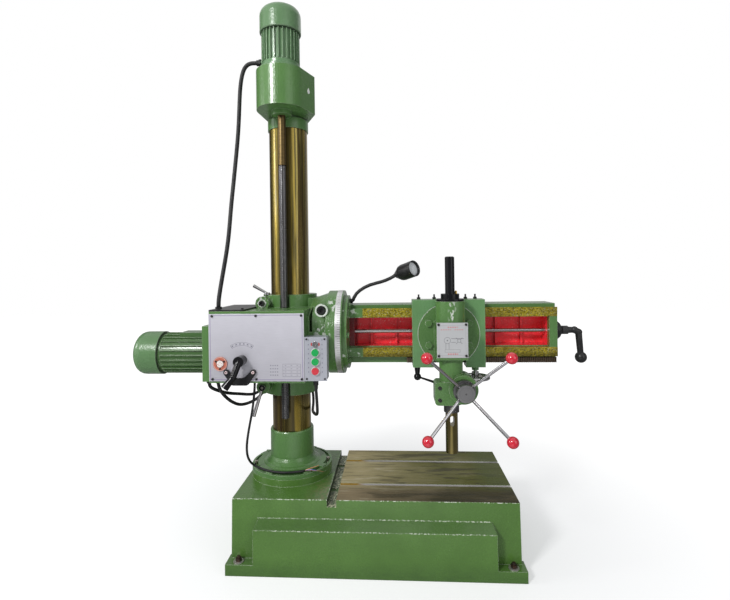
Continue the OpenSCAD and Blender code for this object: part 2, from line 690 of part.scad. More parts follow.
module main_motor_body() color(green) at_motor() difference() {
  union() {
    bar_z(0, 10, motor_d - 4);
    motor_fins(motor_d, motor_body_l, 26);
    bar_z(motor_body_l, motor_body_l + 8, motor_d - 12);
    bar_z(motor_body_l + 8, motor_body_l + 10, motor_d + 3);
    span([28, -34, 12], [74, 34, 120]);
  }
  bar_z(14, motor_body_l - 6, motor_d - 60);
  bar_z(-1, motor_body_l + 11, 19 + 2 * run);
}

module main_fan_cover() color(green) at_motor() translate([0, 0, motor_body_l + 10])
  fan_shell(motor_d + 6, motor_cover_l);

module motor_rotor() color(iron) at_column() translate([0, -motor_fwd, motor_z]) {
  bar_x(-case_left - motor_plate_t - motor_body_l - 46, -165, 19);
  bar_x(-case_left - motor_plate_t - motor_body_l + 16, -case_left - motor_plate_t - 24,
    motor_d - 62);
  bar_x(-case_left - motor_plate_t - motor_body_l - 40,
    -case_left - motor_plate_t - motor_body_l - 22, 96);
  gear_x(-195, 22, gear_m, z_pinion, [motor_fwd - layshaft_fwd, 63], false);
}

module gearbox_shaft() color(iron) at_column() translate([0, -layshaft_fwd, arm_z]) {
  bar_x(-case_left + 4, joint_x - 27, 18);
  gear_x(-195, 22, gear_m, z_wheel, [layshaft_fwd - motor_fwd, -63], true);
  gear_x(joint_x - 49, 22, gear_m, z_pinion, [1, 0], false);
}

module electrical_cabinet() color(green) at_column() difference() {
  union() {
    span([-145, sleeve_d / 2 + 14, 400], [60, sleeve_d / 2 + 122, 590]);
    span([-141, sleeve_d / 2 + 122, 404], [56, sleeve_d / 2 + 126, 586]);
    for (p = [[-126, 142], [-104, 142], [30, 150]]) translate(p) bar_z(390, 401, 17);
  }
  span([-141, sleeve_d / 2 + 18, 404], [56, sleeve_d / 2 + 118, 586]);
}

module upper_clamp_lever() color(steel) at_column() translate([-70, -66, sleeve_top]) {
  bar_z(0, 8, 20);
  rod([0, 0, 5], [-51, 6, 33], 8, 12);
}

module lower_clamp_lever() color(steel) at_column() translate([-76, -114, sleeve_low + 35]) {
  bar_y(-16, 0, 22);
  bar_y(0, 34, 12);
  rod([0, -8, 0], [-33, -8, -100], 9, 14);
}

module shift_lever() color(black) at_column() translate([shift_x, panel_y, shift_z]) {
  bar_y(-38, 0, 34);
  bar_y(0, 30, 16);
  rod([0, -28, 0], [-14, -46, -46], 22, 20);
  rod([-14, -46, -46], [-38, -58, -78], 20, 26);
  translate([-14, -46, -46]) sphere(d = 22, $fn = 32);
}

// A push button: shank in the plate's hole, with a wide cap
module button(z) at_column() translate([switch_x - 1, panel_y, z]) {
  bar_y(-9, -4.5, 23);
  bar_y(-5, 12, 18);
}

module selector_switch() color(black) at_column() translate([switch_x - 1, panel_y, button_z[0]]) {
  bar_y(-3, 12, 18);
  rotate([0, 20, 0]) span([-2.5, -11, -8], [2.5, -2, 8]);
}

module upper_green_button() color("#18a945") button(button_z[1]);
module lower_green_button() color("#18a945") button(button_z[2]);
module red_button() color("#d9303a") button(button_z[3]);

// The arm's section: a web with two dovetail ways, looking along X
module arm_section() {
  top = arm_up;
  low = -arm_down;
  w0 = way_mid - way_h / 2;
  w1 = way_mid + way_h / 2;
  polygon([[arm_back, low], [arm_back, top], [-22, top], [-22, w1 - 9],
    [-22 - way_out, w1], [-22 - way_out, w0],
    [-22, w0], [-22, w0 - 3], [44, w0 - 3], [44, 3 - w0], [-22, 3 - w0], [-22, -w0],
    [-22 - way_out, -w0], [-22 - way_out, -w1], [-22, 9 - w1], [-22, low]]);
}

module arm_beam() color(green) at_column() translate([0, arm_y, arm_z]) difference() {
  union() {
    difference() {
      translate([arm_x0, 0, 0]) rotate([90, 0, 90]) linear_extrude(arm_l - 15) arm_section();
      span([arm_x0, 58, -arm_down + 14], [arm_x1 - 16, arm_back - 14, arm_up - 14]);
    }
    bar_x(joint_x, arm_x0 + 1, 260);
    bar_x(joint_x - 12, joint_x + 1, 184);
    span([arm_x1 - 27, -46, -53], [arm_x1, 50, 53]);
    for (x = [arm_x0 + 74:rib_pitch:arm_x1 - 40]) span([x, 32, -52], [x + 8, 50, 52]);
    span([arm_x0 - 1, -21, -52], [arm_x0 + 20, 50, 52]);
  }
  bar_x(joint_x - 13, arm_x0 + 40, shaft_d + 1);
  bar_x(arm_x1 - 28, arm_x1 + 1, shaft_d + 2 * run);
  at_joint_bolts() bar_x(joint_x - 1, arm_x0 + 2, 13);
}

module at_joint_bolts() for (a = [30, 90, 150, 246, 270, 294])
  rotate([a, 0, 0]) translate([0, 0, 112]) children();

module arm_bolts() color(green) at_column() translate([0, arm_y, arm_z]) at_joint_bolts() {
  bar_x(joint_x - 15, joint_x - 9, 20);
  bar_x(joint_x - 10, arm_x0 + 1, 12);
  translate([arm_x0 + 1, 0, 0]) rotate([0, 90, 0]) hex(18, 8);
}

module arm_rack() color(iron) at_column() translate([0, 0, rack_z]) linear_extrude(rack_h) {
  x0 = head_cx - 141;
  count = floor((arm_x1 - x0) / rack_pitch);
  phase = wheel_x - x0 - round((wheel_x - x0) / rack_pitch) * rack_pitch;
  translate([x0, web_y - 10]) square([arm_x1 - x0, 10]);
  for (i = [0:count - 1]) translate([x0 + phase + (i + 0.5) * rack_pitch, web_y - 10])
    polygon([[-0.3 * rack_pitch, 0.01], [-0.12 * rack_pitch, -4.1],
      [0.12 * rack_pitch, -4.1], [0.3 * rack_pitch, 0.01]]);
}

module shaft_end_cap() color(black) at_column() translate([arm_x1, arm_y, arm_z]) rotate([0, 90, 0])
  rotate_extrude($fn = 64)
    polygon([[shaft_d / 2 + 0.3, 0], [34, 0], [34, 6], [31, 14], [26, 20], [18, 25],
      [shaft_d / 2 + 0.3, 27]]);

module lamp_gooseneck() color(black) at_column() {
  v = lamp_lens - lamp_end;
  sweep_tube(lamp_path, 13, 10);
  translate([0, -10, 628]) bar_x(225, 234, 18);
  translate(lamp_end) rotate([0, 90, atan2(v[0], -v[1])])
    cylinder(d = 12, h = 12, center = true, $fn = 48);
}

module lamp_head() color(black) at_column() {
  v = lamp_lens - lamp_end;
  translate(lamp_end) rotate([0, acos(v[2] / norm(v)), atan2(v[1], v[0])])
    rotate_extrude($fn = 48)
      polygon([[0, 6.3], [12, 6.3], [15, 12], [27, 32], [29, 42], [29, norm(v)], [27, norm(v)],
        [25, norm(v) - 14], [0, norm(v) - 14]]);
}

module drive_shaft() color(steel) at_column() translate([0, arm_y, arm_z]) {
  bar_x(joint_x - 68, arm_x1 + 44, shaft_d);
  gear_x(joint_x - 49, 22, gear_m, z_final, [-1, 0], true);
}

module end_crank() color(black) at_column() translate([arm_x1 + 29, arm_y, arm_z]) {
  difference() {
    union() {
      bar_x(0, 20, 30);
      rod([14, 0, 0], [44, 0, 0], 24, 20);
    }
    bar_x(-1, 15 + run, shaft_d);
  }
  rod([44, 0, 0], [58, 0, -8], 23, 23);
  translate([44, 0, 0]) sphere(d = 25, $fn = 32);
  translate([58, 0, -8]) sphere(d = 25, $fn = 32);
  rod([58, 0, -8], [64, 0, -85], 23, 21);
  translate([65, 0, -96]) sphere(d = 40, $fn = 48);
}

module cone_z(r0, h) cylinder(r1 = r0, r2 = r0 + h, h = h, $fn = 64);

module shaft_bevel() color(iron) at_column()
  translate([head_cx, arm_y, arm_z]) rotate([0, -90, 0]) difference() {
  union() {
    translate([0, 0, 18]) cone_z(17.5, 12);
    bar_z(30, 52, 24);
  }
  bar_z(17, 53, shaft_d + 2 * run);
}

module cross_shaft() color(iron) at_column() translate([head_cx, 0, arm_z]) rotate([90, 0, 0]) {
  translate([0, 0, arm_fwd + 18]) cone_z(17.5, 12);
  translate([0, 0, arm_fwd + spindle_fwd - 18]) mirror([0, 0, 1]) cone_z(17.5, 9);
  bar_z(arm_fwd + 20, arm_fwd + spindle_fwd - 20, 22);
}

module saddle() color(green) at_column() difference() {
  union() {
    span([saddle_x0, saddle_y, arm_z - arm_down - 4],
      [saddle_x0 + saddle_l, way_y - gap, arm_z + arm_up + 20]);
    translate([saddle_x0, arm_y, arm_z]) rotate([90, 0, 90]) linear_extrude(saddle_l) {
      w1 = way_mid + way_h / 2 + 0.4;
      f = -22 - way_out - gap;
      polygon([[f - 1, w1], [f, w1], [-22 - gap, w1 - 9], [-22 - gap, w1 + 8],
        [-30, arm_up + 20], [f - 1, arm_up + 20]]);
      polygon([[f - 1, -w1], [f, -w1], [-22 - gap, 9 - w1], [-22 - gap, -w1 - 2.5], [-38, -w1 - 2.5],
        [-38, -arm_down - 4], [f - 1, -arm_down - 4]]);
    }
    translate([head_cx, arm_y, arm_z]) {
      span([-50, -22 - way_out - 1, -42], [-32, 26, 42]);
      span([32, -22 - way_out - 1, -42], [50, 26, 42]);
    }
    translate([wheel_x, wheel_y, 0]) bar_z(arm_z - arm_down - 20, arm_z - arm_down - 3, 24);
  }
  translate([head_cx, 0, arm_z]) {
    bar_y(saddle_y - 1, saddle_y + 12, 2 * disc_r + 1);
    bar_y(saddle_y, way_y + 8, 22 + 2 * run);
  }
  span([head_cx - 52, saddle_y - 1, arm_z - arm_down - 5], [head_cx + 57, 0, arm_z - 89]);
  translate([head_cx, arm_y, arm_z]) {
    bar_x(-51, -31, 24 + 2 * run);
    bar_x(31, 51, shaft_d + 1);
    bar_y(-36, 30, 64);
  }
  translate([wheel_x, wheel_y, 0]) {
    bar_z(rack_z - 2, rack_z + rack_h + 2.5, 2 * wheel_r + 5);
    bar_z(arm_z - arm_down - 21, rack_z + rack_h + 14, 12 + 2 * run);
  }
  translate([lever_x, way_y - 24, 0])
    bar_z(arm_z - arm_down - 5, arm_z - arm_down + 24, 10 + 2 * run);
  for (x = stud_x) translate([head_cx + x, way_y + 8, 0])
    bar_z(arm_z + way_mid + 20, arm_z + arm_up + 21, 6 + 2 * run);
}

stud_x = [-97, -43, 65, 98];

module gib_screws() color(black) at_column() for (x = stud_x) translate([head_cx + x, way_y + 8, 0]) {
  bar_z(arm_z + way_mid + 20, arm_z + arm_up + 36, 6);
  translate([0, 0, arm_z + arm_up + 20]) hex(11, 6);
}

module traverse_handwheel() color(steel) at_column() translate([wheel_x, wheel_y, 0]) {
  hub_z = arm_z - arm_down - 46;
  bar_z(hub_z, rack_z + rack_h + 4, 12);
  translate([0, 0, rack_z]) rotate(90) linear_extrude(rack_h) gear_outline(rack_m, wheel_teeth);
  bar_z(hub_z - 3, hub_z + 20, 24);
  translate([0, 0, hub_z]) rotate_extrude($fn = 64) translate([wheel_d / 2 - 6, 0]) circle(d = 12, $fn = 24);
  for (a = [90, 210, 330]) rotate(a) translate([8, -4, hub_z - 3]) cube([wheel_d / 2 - 14, 8, 6]);
}

module saddle_clamp_lever() color(black) at_column()
  translate([lever_x, way_y - 24, arm_z - arm_down - 4]) {
  bar_z(0, 26, 10);
  rotate([180, 0, 0]) cylinder(d1 = 22, d2 = 15, h = 28, $fn = 32);
  translate([0, 0, -36]) sphere(d = 25, $fn = 32);
  rod([0, 0, -36], [72, 0, -60], 6, 10);
}

block_w = 98;
block_low = -70;
block_high = 46;
block_front = spindle_y - 52;
disc_y = saddle_y - 1.5;

module head_casting() color(green) at_column() translate([head_cx, 0, arm_z]) difference() {
  union() {
    bar_y(disc_y, saddle_y + 11.5, 2 * disc_r);
    span([-block_w / 2, block_front, block_low], [block_w / 2, disc_y + 1, block_high]);
    translate([0, spindle_y, 0]) {
      bar_z(block_high - 8, 115, 95);
      bar_z(-218, block_low + 8, 76);
      span([-44, -38, -218], [0, 30, -144]);
      span([-56, -38, -206], [-30, 30, -156]);
      for (z = [-206, -156]) translate([-44, 0, z]) bar_y(-38, 30, 24);
      translate([feed_x - head_cx, 0, feed_z - arm_z]) bar_y(-50, 32, 92);
    }
    for (x = [-68, 68]) for (z = [-37, 37]) translate([x, 0, z]) bar_y(disc_y - 10, disc_y + 1, 22);
  }
  translate([0, spindle_y, 0]) {
    bar_z(-219, -30, quill_d + 2 * run);
    bar_z(-36, 52, 78);
    bar_z(50, 116, 36 + 2 * run);
    translate([feed_x - head_cx, 0, feed_z - arm_z]) {
      bar_y(-14, 14, 2 * feed_pr + 5);
      bar_y(-51, 24, 16 + 2 * run);
    }
  }
  bar_y(spindle_y + 10, saddle_y + 12, 22 + 2 * run);
  for (z = [-162, -201]) translate([-40, spindle_y, z]) bar_y(-39, -31, 12);
}

module head_plate() color(steel) at_column() translate([head_cx, block_front, arm_z]) {
  span([-49, -2, block_low + 8], [49, 0, 49]);
  for (x = [-43, 43]) for (z = [block_low + 14, 43]) translate([x, 0, z]) bar_y(-4, -1.5, 8);
  for (z = [-162, -201]) translate([-40, 14, z]) bar_y(-3, 7, 11);
}

module spindle_drive() color(iron) at_column() translate([head_cx, spindle_y, arm_z]) difference() {
  union() {
    translate([0, 0, 18]) cone_z(17.5, 14);
    bar_z(32, 110, 36);
  }
  bar_z(17, 111, 22 + 2 * run);
}

module spindle_tube() color(black) at_column() translate([head_cx, spindle_y, arm_z]) difference() {
  union() {
    bar_z(115, 122.5, 90);
    translate([0, 0, 122.5]) cylinder(d = 60, h = 16, $fn = 48);
    bar_z(122.5, 258, 31);
    bar_z(258, 260, 26);
    translate([20, 6, 138]) cylinder(d = 8, h = 8, $fn = 24);
    translate([20, 6, 146]) sphere(d = 6, $fn = 24);
  }
  bar_z(114, 255, 24.4);
}

quill_low = 246;
quill_high = 41;

module quill() color(steel) at_column() translate([head_cx, spindle_y, arm_z]) difference() {
  bar_z(-quill_low, -quill_high, quill_d);
  bar_z(-quill_low - 1, -quill_high + 1, 30 + 2 * run);
  translate([quill_d / 2 - 1.5, -30, feed_z - arm_z - 3 * feed_pitch]) cube([10, 60, 35 * feed_pitch]);
  for (i = [-2:29]) translate([quill_d / 2 - 3, 30, feed_z - arm_z + i * feed_pitch])
    rotate([90, 0, 0]) linear_extrude(60)
      polygon([[-1.9, -0.14 * feed_pitch], [1.6, -0.38 * feed_pitch],
        [1.6, 0.38 * feed_pitch], [-1.9, 0.14 * feed_pitch]]);
}

module spindle() color("#a08a3c") at_column() translate([head_cx, spindle_y, arm_z]) difference() {
  union() {
    bar_z(-nose_drop, -quill_low, nose_d);
    bar_z(-quill_low, -quill_high + 2, 30);
    bar_z(-quill_high + 2, 245, 22);
  }
  translate([0, 0, -nose_drop - 0.01])
    cylinder(d1 = taper_d, d2 = taper_d - 4.3, h = 86, $fn = 64);
  translate([0, 0, -nose_drop + 106]) hull() for (z = [-10, 10]) translate([0, 0, z])
    rotate([90, 0, 0]) cylinder(d = 13, h = nose_d + 2, center = true, $fn = 32);
}

module feed_handle() at_column() translate([feed_x, spindle_y, feed_z]) {
  color(iron) {
    bar_y(-102, -70, 55);
    bar_y(-70, -50.5, 70);
    bar_y(-50.5, 23, 16);
    translate([0, 12, 0]) rotate([90, 0, 0]) linear_extrude(24) rotate(180) gear_outline(feed_m, feed_teeth);
  }
  for (a = [45:90:315]) rotate([0, a, 0]) {
    color(steel) rod([18, -86, 0], [feed_r - 10, -164, 0], feed_rod_d, feed_rod_d);
    color(red) translate([feed_r, -169, 0]) sphere(d = ball_d, $fn = 48);
  }
}

module lift_conduit() color(black) at_column() sweep_tube(conduit_path, conduit_d, 8);

module motor_cable() color(black) at_column() sweep_tube(motor_cable_path, cable_d, 8);
module control_cable() color(black) at_column() sweep_tube(control_cable_path, cable_d, 8);
module station_cable() color(black) at_column() sweep_tube(station_path, station_d, 8);
module supply_lead() color(black) at_column() sweep_tube(supply_path, supply_d, 8);

base_casting();
anchor_bolts();
swivel_flange();
swivel_clamp_bolts();
column_tube();
lift_housing();
lift_motor_body();
lift_fan_cover();
lift_rotor();
lead_screw();
arm_sleeve();
sleeve_bolts();
lift_nut();
graduated_band();
gearbox_case();
gearbox_lid();
front_panel();
panel_screws();
switch_box();
oil_sight();
shift_quadrant();
motor_plate();
main_motor_body();
main_fan_cover();
motor_rotor();
gearbox_shaft();
electrical_cabinet();
upper_clamp_lever();
lower_clamp_lever();
shift_lever();
selector_switch();
upper_green_button();
lower_green_button();
red_button();
arm_beam();
arm_bolts();
arm_rack();
shaft_end_cap();
lamp_gooseneck();
lamp_head();
drive_shaft();
end_crank();
shaft_bevel();
cross_shaft();
saddle();
gib_screws();
traverse_handwheel();
saddle_clamp_lever();
head_casting();
head_plate();
spindle_drive();
spindle_tube();
quill();
spindle();
feed_handle();
lift_conduit();
motor_cable();
control_cable();
station_cable();
supply_lead();
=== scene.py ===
"""Looks of a radial arm drill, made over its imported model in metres, in the model's own frame."""
from __future__ import annotations

import logging
import math
from dataclasses import dataclass, replace
from enum import Enum
from functools import cached_property
from typing import Any, Callable, Iterable, Sequence, Union

import bmesh
import bpy
from mathutils import Matrix, Vector


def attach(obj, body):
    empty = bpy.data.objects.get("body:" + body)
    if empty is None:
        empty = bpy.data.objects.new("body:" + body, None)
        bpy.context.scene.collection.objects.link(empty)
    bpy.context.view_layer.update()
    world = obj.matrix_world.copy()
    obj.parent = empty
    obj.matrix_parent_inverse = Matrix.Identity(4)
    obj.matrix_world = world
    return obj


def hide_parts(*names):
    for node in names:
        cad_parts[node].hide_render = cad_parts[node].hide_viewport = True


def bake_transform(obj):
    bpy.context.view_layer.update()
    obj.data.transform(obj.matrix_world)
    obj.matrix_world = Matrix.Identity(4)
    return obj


LOG = logging.getLogger("drill")
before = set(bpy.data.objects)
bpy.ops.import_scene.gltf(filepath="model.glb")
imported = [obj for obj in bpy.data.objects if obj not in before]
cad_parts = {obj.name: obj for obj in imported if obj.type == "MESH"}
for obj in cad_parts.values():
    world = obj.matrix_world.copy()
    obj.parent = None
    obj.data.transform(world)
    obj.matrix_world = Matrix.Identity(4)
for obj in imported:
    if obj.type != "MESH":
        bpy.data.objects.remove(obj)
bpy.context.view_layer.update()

Point = Sequence[float]
Pair = tuple[float, float]
Colour = tuple[float, float, float]

# where the column's axis meets the work table, from the model's origin, in millimetres
AXIS_ON_TABLE = (-311.0, 16.0, 230.0)
MM = 1000.0
BARE_PAINT = (0.62, 0.66, 0.55)
CORNERS = ((-1, -1), (1, -1), (1, 1), (-1, 1))
SOOT = (0.012, 0.012, 0.012)


def at(x: float, y: float, z: float) -> Vector:
    """A point given in millimetres from the column axis and the work table."""
    return Vector([(value + start) / MM for value, start in zip((x, y, z), AXIS_ON_TABLE)])


class Slot(Enum):
    """Names of the record's material slots, which nothing here uses."""

    DARK_STEEL = "dark_steel"
    RUBBER = "cable_rubber"
    GREEN = "green_paint"
    GLASS = "oil_glass"


class Value:
    """A number socket in a shader expression. Operators on it add Math nodes."""

    def __init__(self, tree: "Tree", socket: bpy.types.NodeSocket) -> None:
        """Wraps an output socket of a material's tree."""
        self.tree = tree
        self.socket = socket

    def _math(self, operation: str, *terms: "Number", clamp: bool = False) -> "Value":
        """Adds one Math node.

        Args:
            operation: the node's operation.
            terms: its inputs, in order.
            clamp: whether the result is kept from 0 to 1.

        Returns:
            The node's result.
        """
        settings = {"operation": operation, "use_clamp": clamp}
        node = self.tree.node("ShaderNodeMath", settings, dict(enumerate(terms)))
        return Value(self.tree, node.outputs[0])

    def __add__(self, other: "Number") -> "Value":
        """Adds a number."""
        return self._math("ADD", self, other)

    __radd__ = __add__

    def __sub__(self, other: "Number") -> "Value":
        """Takes a number away."""
        return self._math("SUBTRACT", self, other)

    def __rsub__(self, other: "Number") -> "Value":
        """Takes this away from a number."""
        return self._math("SUBTRACT", other, self)

    def __mul__(self, other: "Number") -> "Value":
        """Multiplies by a number."""
        return self._math("MULTIPLY", self, other)

    __rmul__ = __mul__

    def __truediv__(self, other: "Number") -> "Value":
        """Divides by a number."""
        return self._math("DIVIDE", self, other)

    def __abs__(self) -> "Value":
        """The size without the sign."""
        return self._math("ABSOLUTE", self)

    def most(self, other: "Number") -> "Value":
        """The larger of two numbers."""
        return self._math("MAXIMUM", self, other)

    def least(self, other: "Number") -> "Value":
        """The smaller of two numbers."""
        return self._math("MINIMUM", self, other)

    def power(self, exponent: float) -> "Value":
        """Raised to a power."""
        return self._math("POWER", self, exponent)

    def wave(self, length: float) -> "Value":
        """A sawtooth from 0 to 1 that repeats every length."""
        return self._math("FRACT", self / length)

    def above(self, edge: float, soft: float = 0.0004) -> "Value":
        """1 above an edge and 0 below it, over a soft width."""
        return self._math("MULTIPLY", self - (edge - soft / 2), 1.0 / soft, clamp=True)

    def below(self, edge: float, soft: float = 0.0004) -> "Value":
        """1 below an edge and 0 above it."""
        return 1.0 - self.above(edge, soft)

    def within(self, low: float, high: float, soft: float = 0.0004) -> "Value":
        """1 between two edges."""
        return self.above(low, soft) * self.below(high, soft)


Number = Union[Value, float]


class Tree:
    """One material, the nodes that are added to it, and its colour so far."""

    def __init__(self, name: str, colour: Colour = (0.0, 0.0, 0.0)) -> None:
        """Starts an empty material.

        Args:
            name: the material's name.
            colour: what later colours are laid over.
        """
        self.material = bpy.data.materials.new(name)
        self.material.use_nodes = True
        self.graph = self.material.node_tree
        self.graph.nodes.clear()
        self.output = self.graph.nodes.new("ShaderNodeOutputMaterial")
        self.colour: Any = colour

    @cached_property
    def _coords(self) -> Any:
        """The places and directions at rest."""
        return self.node("ShaderNodeTexCoord").outputs

    @cached_property
    def place(self) -> list[Value]:
        """The rest place along X, Y and Z, in metres."""
        return self._split("Object")

    @cached_property
    def facing(self) -> list[Value]:
        """How far the surface faces along X, Y and Z, at rest."""
        return self._split("Normal")

    def _split(self, kind: str) -> list[Value]:
        """The three parts of the rest place or direction."""
        split = self.node("ShaderNodeSeparateXYZ", values={0: self._coords[kind]})
        return [Value(self, part) for part in split.outputs]

    def node(
        self, kind: str, settings: dict[str, Any] | None = None, values: dict[Any, Any] | None = None
    ) -> bpy.types.Node:
        """Adds a node.

        Args:
            kind: the node's type.
            settings: its properties, set first.
            values: what goes into its input sockets, by name or number.

        Returns:
            The new node.
        """
        made = self.graph.nodes.new(kind)
        for key, value in (settings or {}).items():
            setattr(made, key, value)
        for key, value in (values or {}).items():
            source = value.socket if isinstance(value, Value) else value
            if isinstance(source, bpy.types.NodeSocket):
                self.graph.links.new(source, made.inputs[key])
            elif made.inputs[key].type == "RGBA":
                made.inputs[key].default_value = (*source, 1.0)
            else:
                made.inputs[key].default_value = source
        return made

    def round_mark(self, x: float, z: float) -> Value:
        """The distance from a point on a face that looks along Y, in metres."""
        return self.distance(self.place[0] - x, self.place[2] - z)

    def outline(self, middle: Pair, half: Pair, width: float) -> Value:
        """A rectangle's outline on a face that looks along Y.

        Args:
            middle: its middle's x and z.
            half: half its width and height.
            width: how thick the line is.

        Returns:
            The line's mask.
        """
        across, high = abs(self.place[0] - middle[0]), abs(self.place[2] - middle[1])
        inner = across.below(half[0] - width) * high.below(half[1] - width)
        return across.below(half[0]) * high.below(half[1]) - inner

    @staticmethod
    def distance(first: Value, second: Value) -> Value:
        """The length of two sides at a right angle."""
        return (first * first + second * second).power(0.5)

    def noise(self, scale: float, detail: float = 3.0, stretch: Point = (1, 1, 1)) -> Value:
        """Cloudy noise from 0 to 1.

        Args:
            scale: features per metre.
            detail: how many octaves.
            stretch: how much each axis is scaled.

        Returns:
            The noise's value.
        """
        values: dict[Any, Any] = {0: self._coords["Object"], 1: tuple(stretch)}
        spread = self.node("ShaderNodeVectorMath", {"operation": "MULTIPLY"}, values)
        values = {"Vector": spread.outputs[0], "Scale": scale, "Detail": detail, "Roughness": 0.55}
        return Value(self, self.node("ShaderNodeTexNoise", values=values).outputs[0])

    def rounded(self, width: float) -> bpy.types.NodeSocket:
        """The normal as if edges were rounded by a width in metres."""
        return self.node("ShaderNodeBevel", {"samples": 4}, {"Radius": width}).outputs[0]

    def worn_edge(self, width: float) -> Value:
        """Near 1 along convex edges, from the rounded normal.

        Args:
            width: the rounding in metres.

        Returns:
            The edge mask, before it is broken up.
        """
        plain = self.node("ShaderNodeNewGeometry").outputs["Normal"]
        values = {0: self.rounded(width), 1: plain}
        dot = self.node("ShaderNodeVectorMath", {"operation": "DOT_PRODUCT"}, values)
        return (1.0 - Value(self, dot.outputs["Value"])) * 6.0

    def scuff(self, first: Value, second: Value, width: float) -> Value:
        """A broken line of bare specks within a width of a straight edge, from the distances both ways."""
        broken = self.noise(170.0, 3.0).above(0.53, 0.05) * self.noise(14.0, 3.0).above(0.42, 0.2)
        return self.distance(first, second).below(width, 0.0006) * broken

    def blend(self, mask: Number, low: Any, high: Any) -> bpy.types.NodeSocket:
        """Mixes two colours or sockets, the first where the mask is 0 and the second where it is 1."""
        settings = {"data_type": "RGBA", "clamp_factor": True}
        return self.node("ShaderNodeMix", settings, {0: mask, 6: low, 7: high}).outputs[2]

    def stack(self, colour: Any, *coats: tuple[Number, Any]) -> Any:
        """Lays coats over a colour.

        Args:
            colour: the lowest colour.
            coats: pairs of a mask and a colour, in order.

        Returns:
            The mixed colour's socket.
        """
        for mask, coat in coats:
            colour = self.blend(mask, colour, coat)
        return colour

    def over(self, mask: Number, colour: Any) -> None:
        """Lays a colour over the one so far, where a mask is 1."""
        self.colour = self.blend(mask, self.colour, colour)

    def bump(self, height: Value, depth: float, round_edges: float = 0.0) -> bpy.types.NodeSocket:
        """Turns a height into a normal.

        Args:
            height: the relief, from 0 to 1.
            depth: how deep a step of 1 is, in metres.
            round_edges: the radius that edges look rounded by, or 0.

        Returns:
            The normal's socket.
        """
        values: dict[str, Any] = {"Height": height, "Distance": depth, "Strength": 1.0}
        if round_edges:
            values["Normal"] = self.rounded(round_edges)
        return self.node("ShaderNodeBump", values=values).outputs[0]

    def end(self, shader: bpy.types.Node) -> None:
        """Joins the last shader to the material's output."""
        self.graph.links.new(shader.outputs[0], self.output.inputs[0])

    def surface(self, rough: Number, normal: bpy.types.NodeSocket, **values: Any) -> bpy.types.Material:
        """Ends the material with one Principled shader in the colour so far.

        Args:
            rough: the roughness.
            normal: the normal's socket.
            values: other sockets, with _ for a space.

        Returns:
            The finished material.
        """
        named = {"Base Color": self.colour, "Roughness": rough, "Normal": normal}
        named.update({key.replace("_", " "): value for key, value in values.items()})
        self.end(self.node("ShaderNodeBsdfPrincipled", values=named))
        return self.material


@dataclass(frozen=True)
class Enamel:
    """Thick gloss paint on cast iron, with chipped edges, dust and a wavy skin."""

    name: str = "green_enamel"
    colour: Colour = (0.080, 0.178, 0.050)
    dark: Colour = (0.048, 0.114, 0.030)
    rough: float = 0.25
    edge: float = 0.0022
    chips: float = 0.55
    skin: float = 0.0008
    coat: float = 0.2

    def mark(self, tree: Tree, rough: Value) -> tuple[Number, Number, Number]:
        """The roughness, how bare of clear coat it is, and how metallic. Plain paint has no marks."""
        return rough, 0.0, 0.0

    def make(self) -> bpy.types.Material:
        """Makes the paint.

        Returns:
            The material.
        """
        tree = Tree(self.name, self.colour)
        cloud, fine = tree.noise(9.0, 4.0), tree.noise(420.0, 4.0)
        tree.over(cloud.above(0.52, 0.35) * 0.45, self.dark)
        worn = tree.worn_edge(self.edge) * fine.above(0.5, 0.2)
        tree.over(worn.least(1.0) * self.chips, BARE_PAINT)
        normal = tree.bump(tree.noise(150.0, 2.0), self.skin, self.edge)
        rough, bare, metal = self.mark(tree, cloud * 0.14 + (self.rough - 0.07) + fine * 0.06)
        return tree.surface(rough, normal, Metallic=metal, Coat_Weight=(1.0 - bare) * self.coat,
                            Coat_Roughness=0.08, Specular_IOR_Level=0.4)


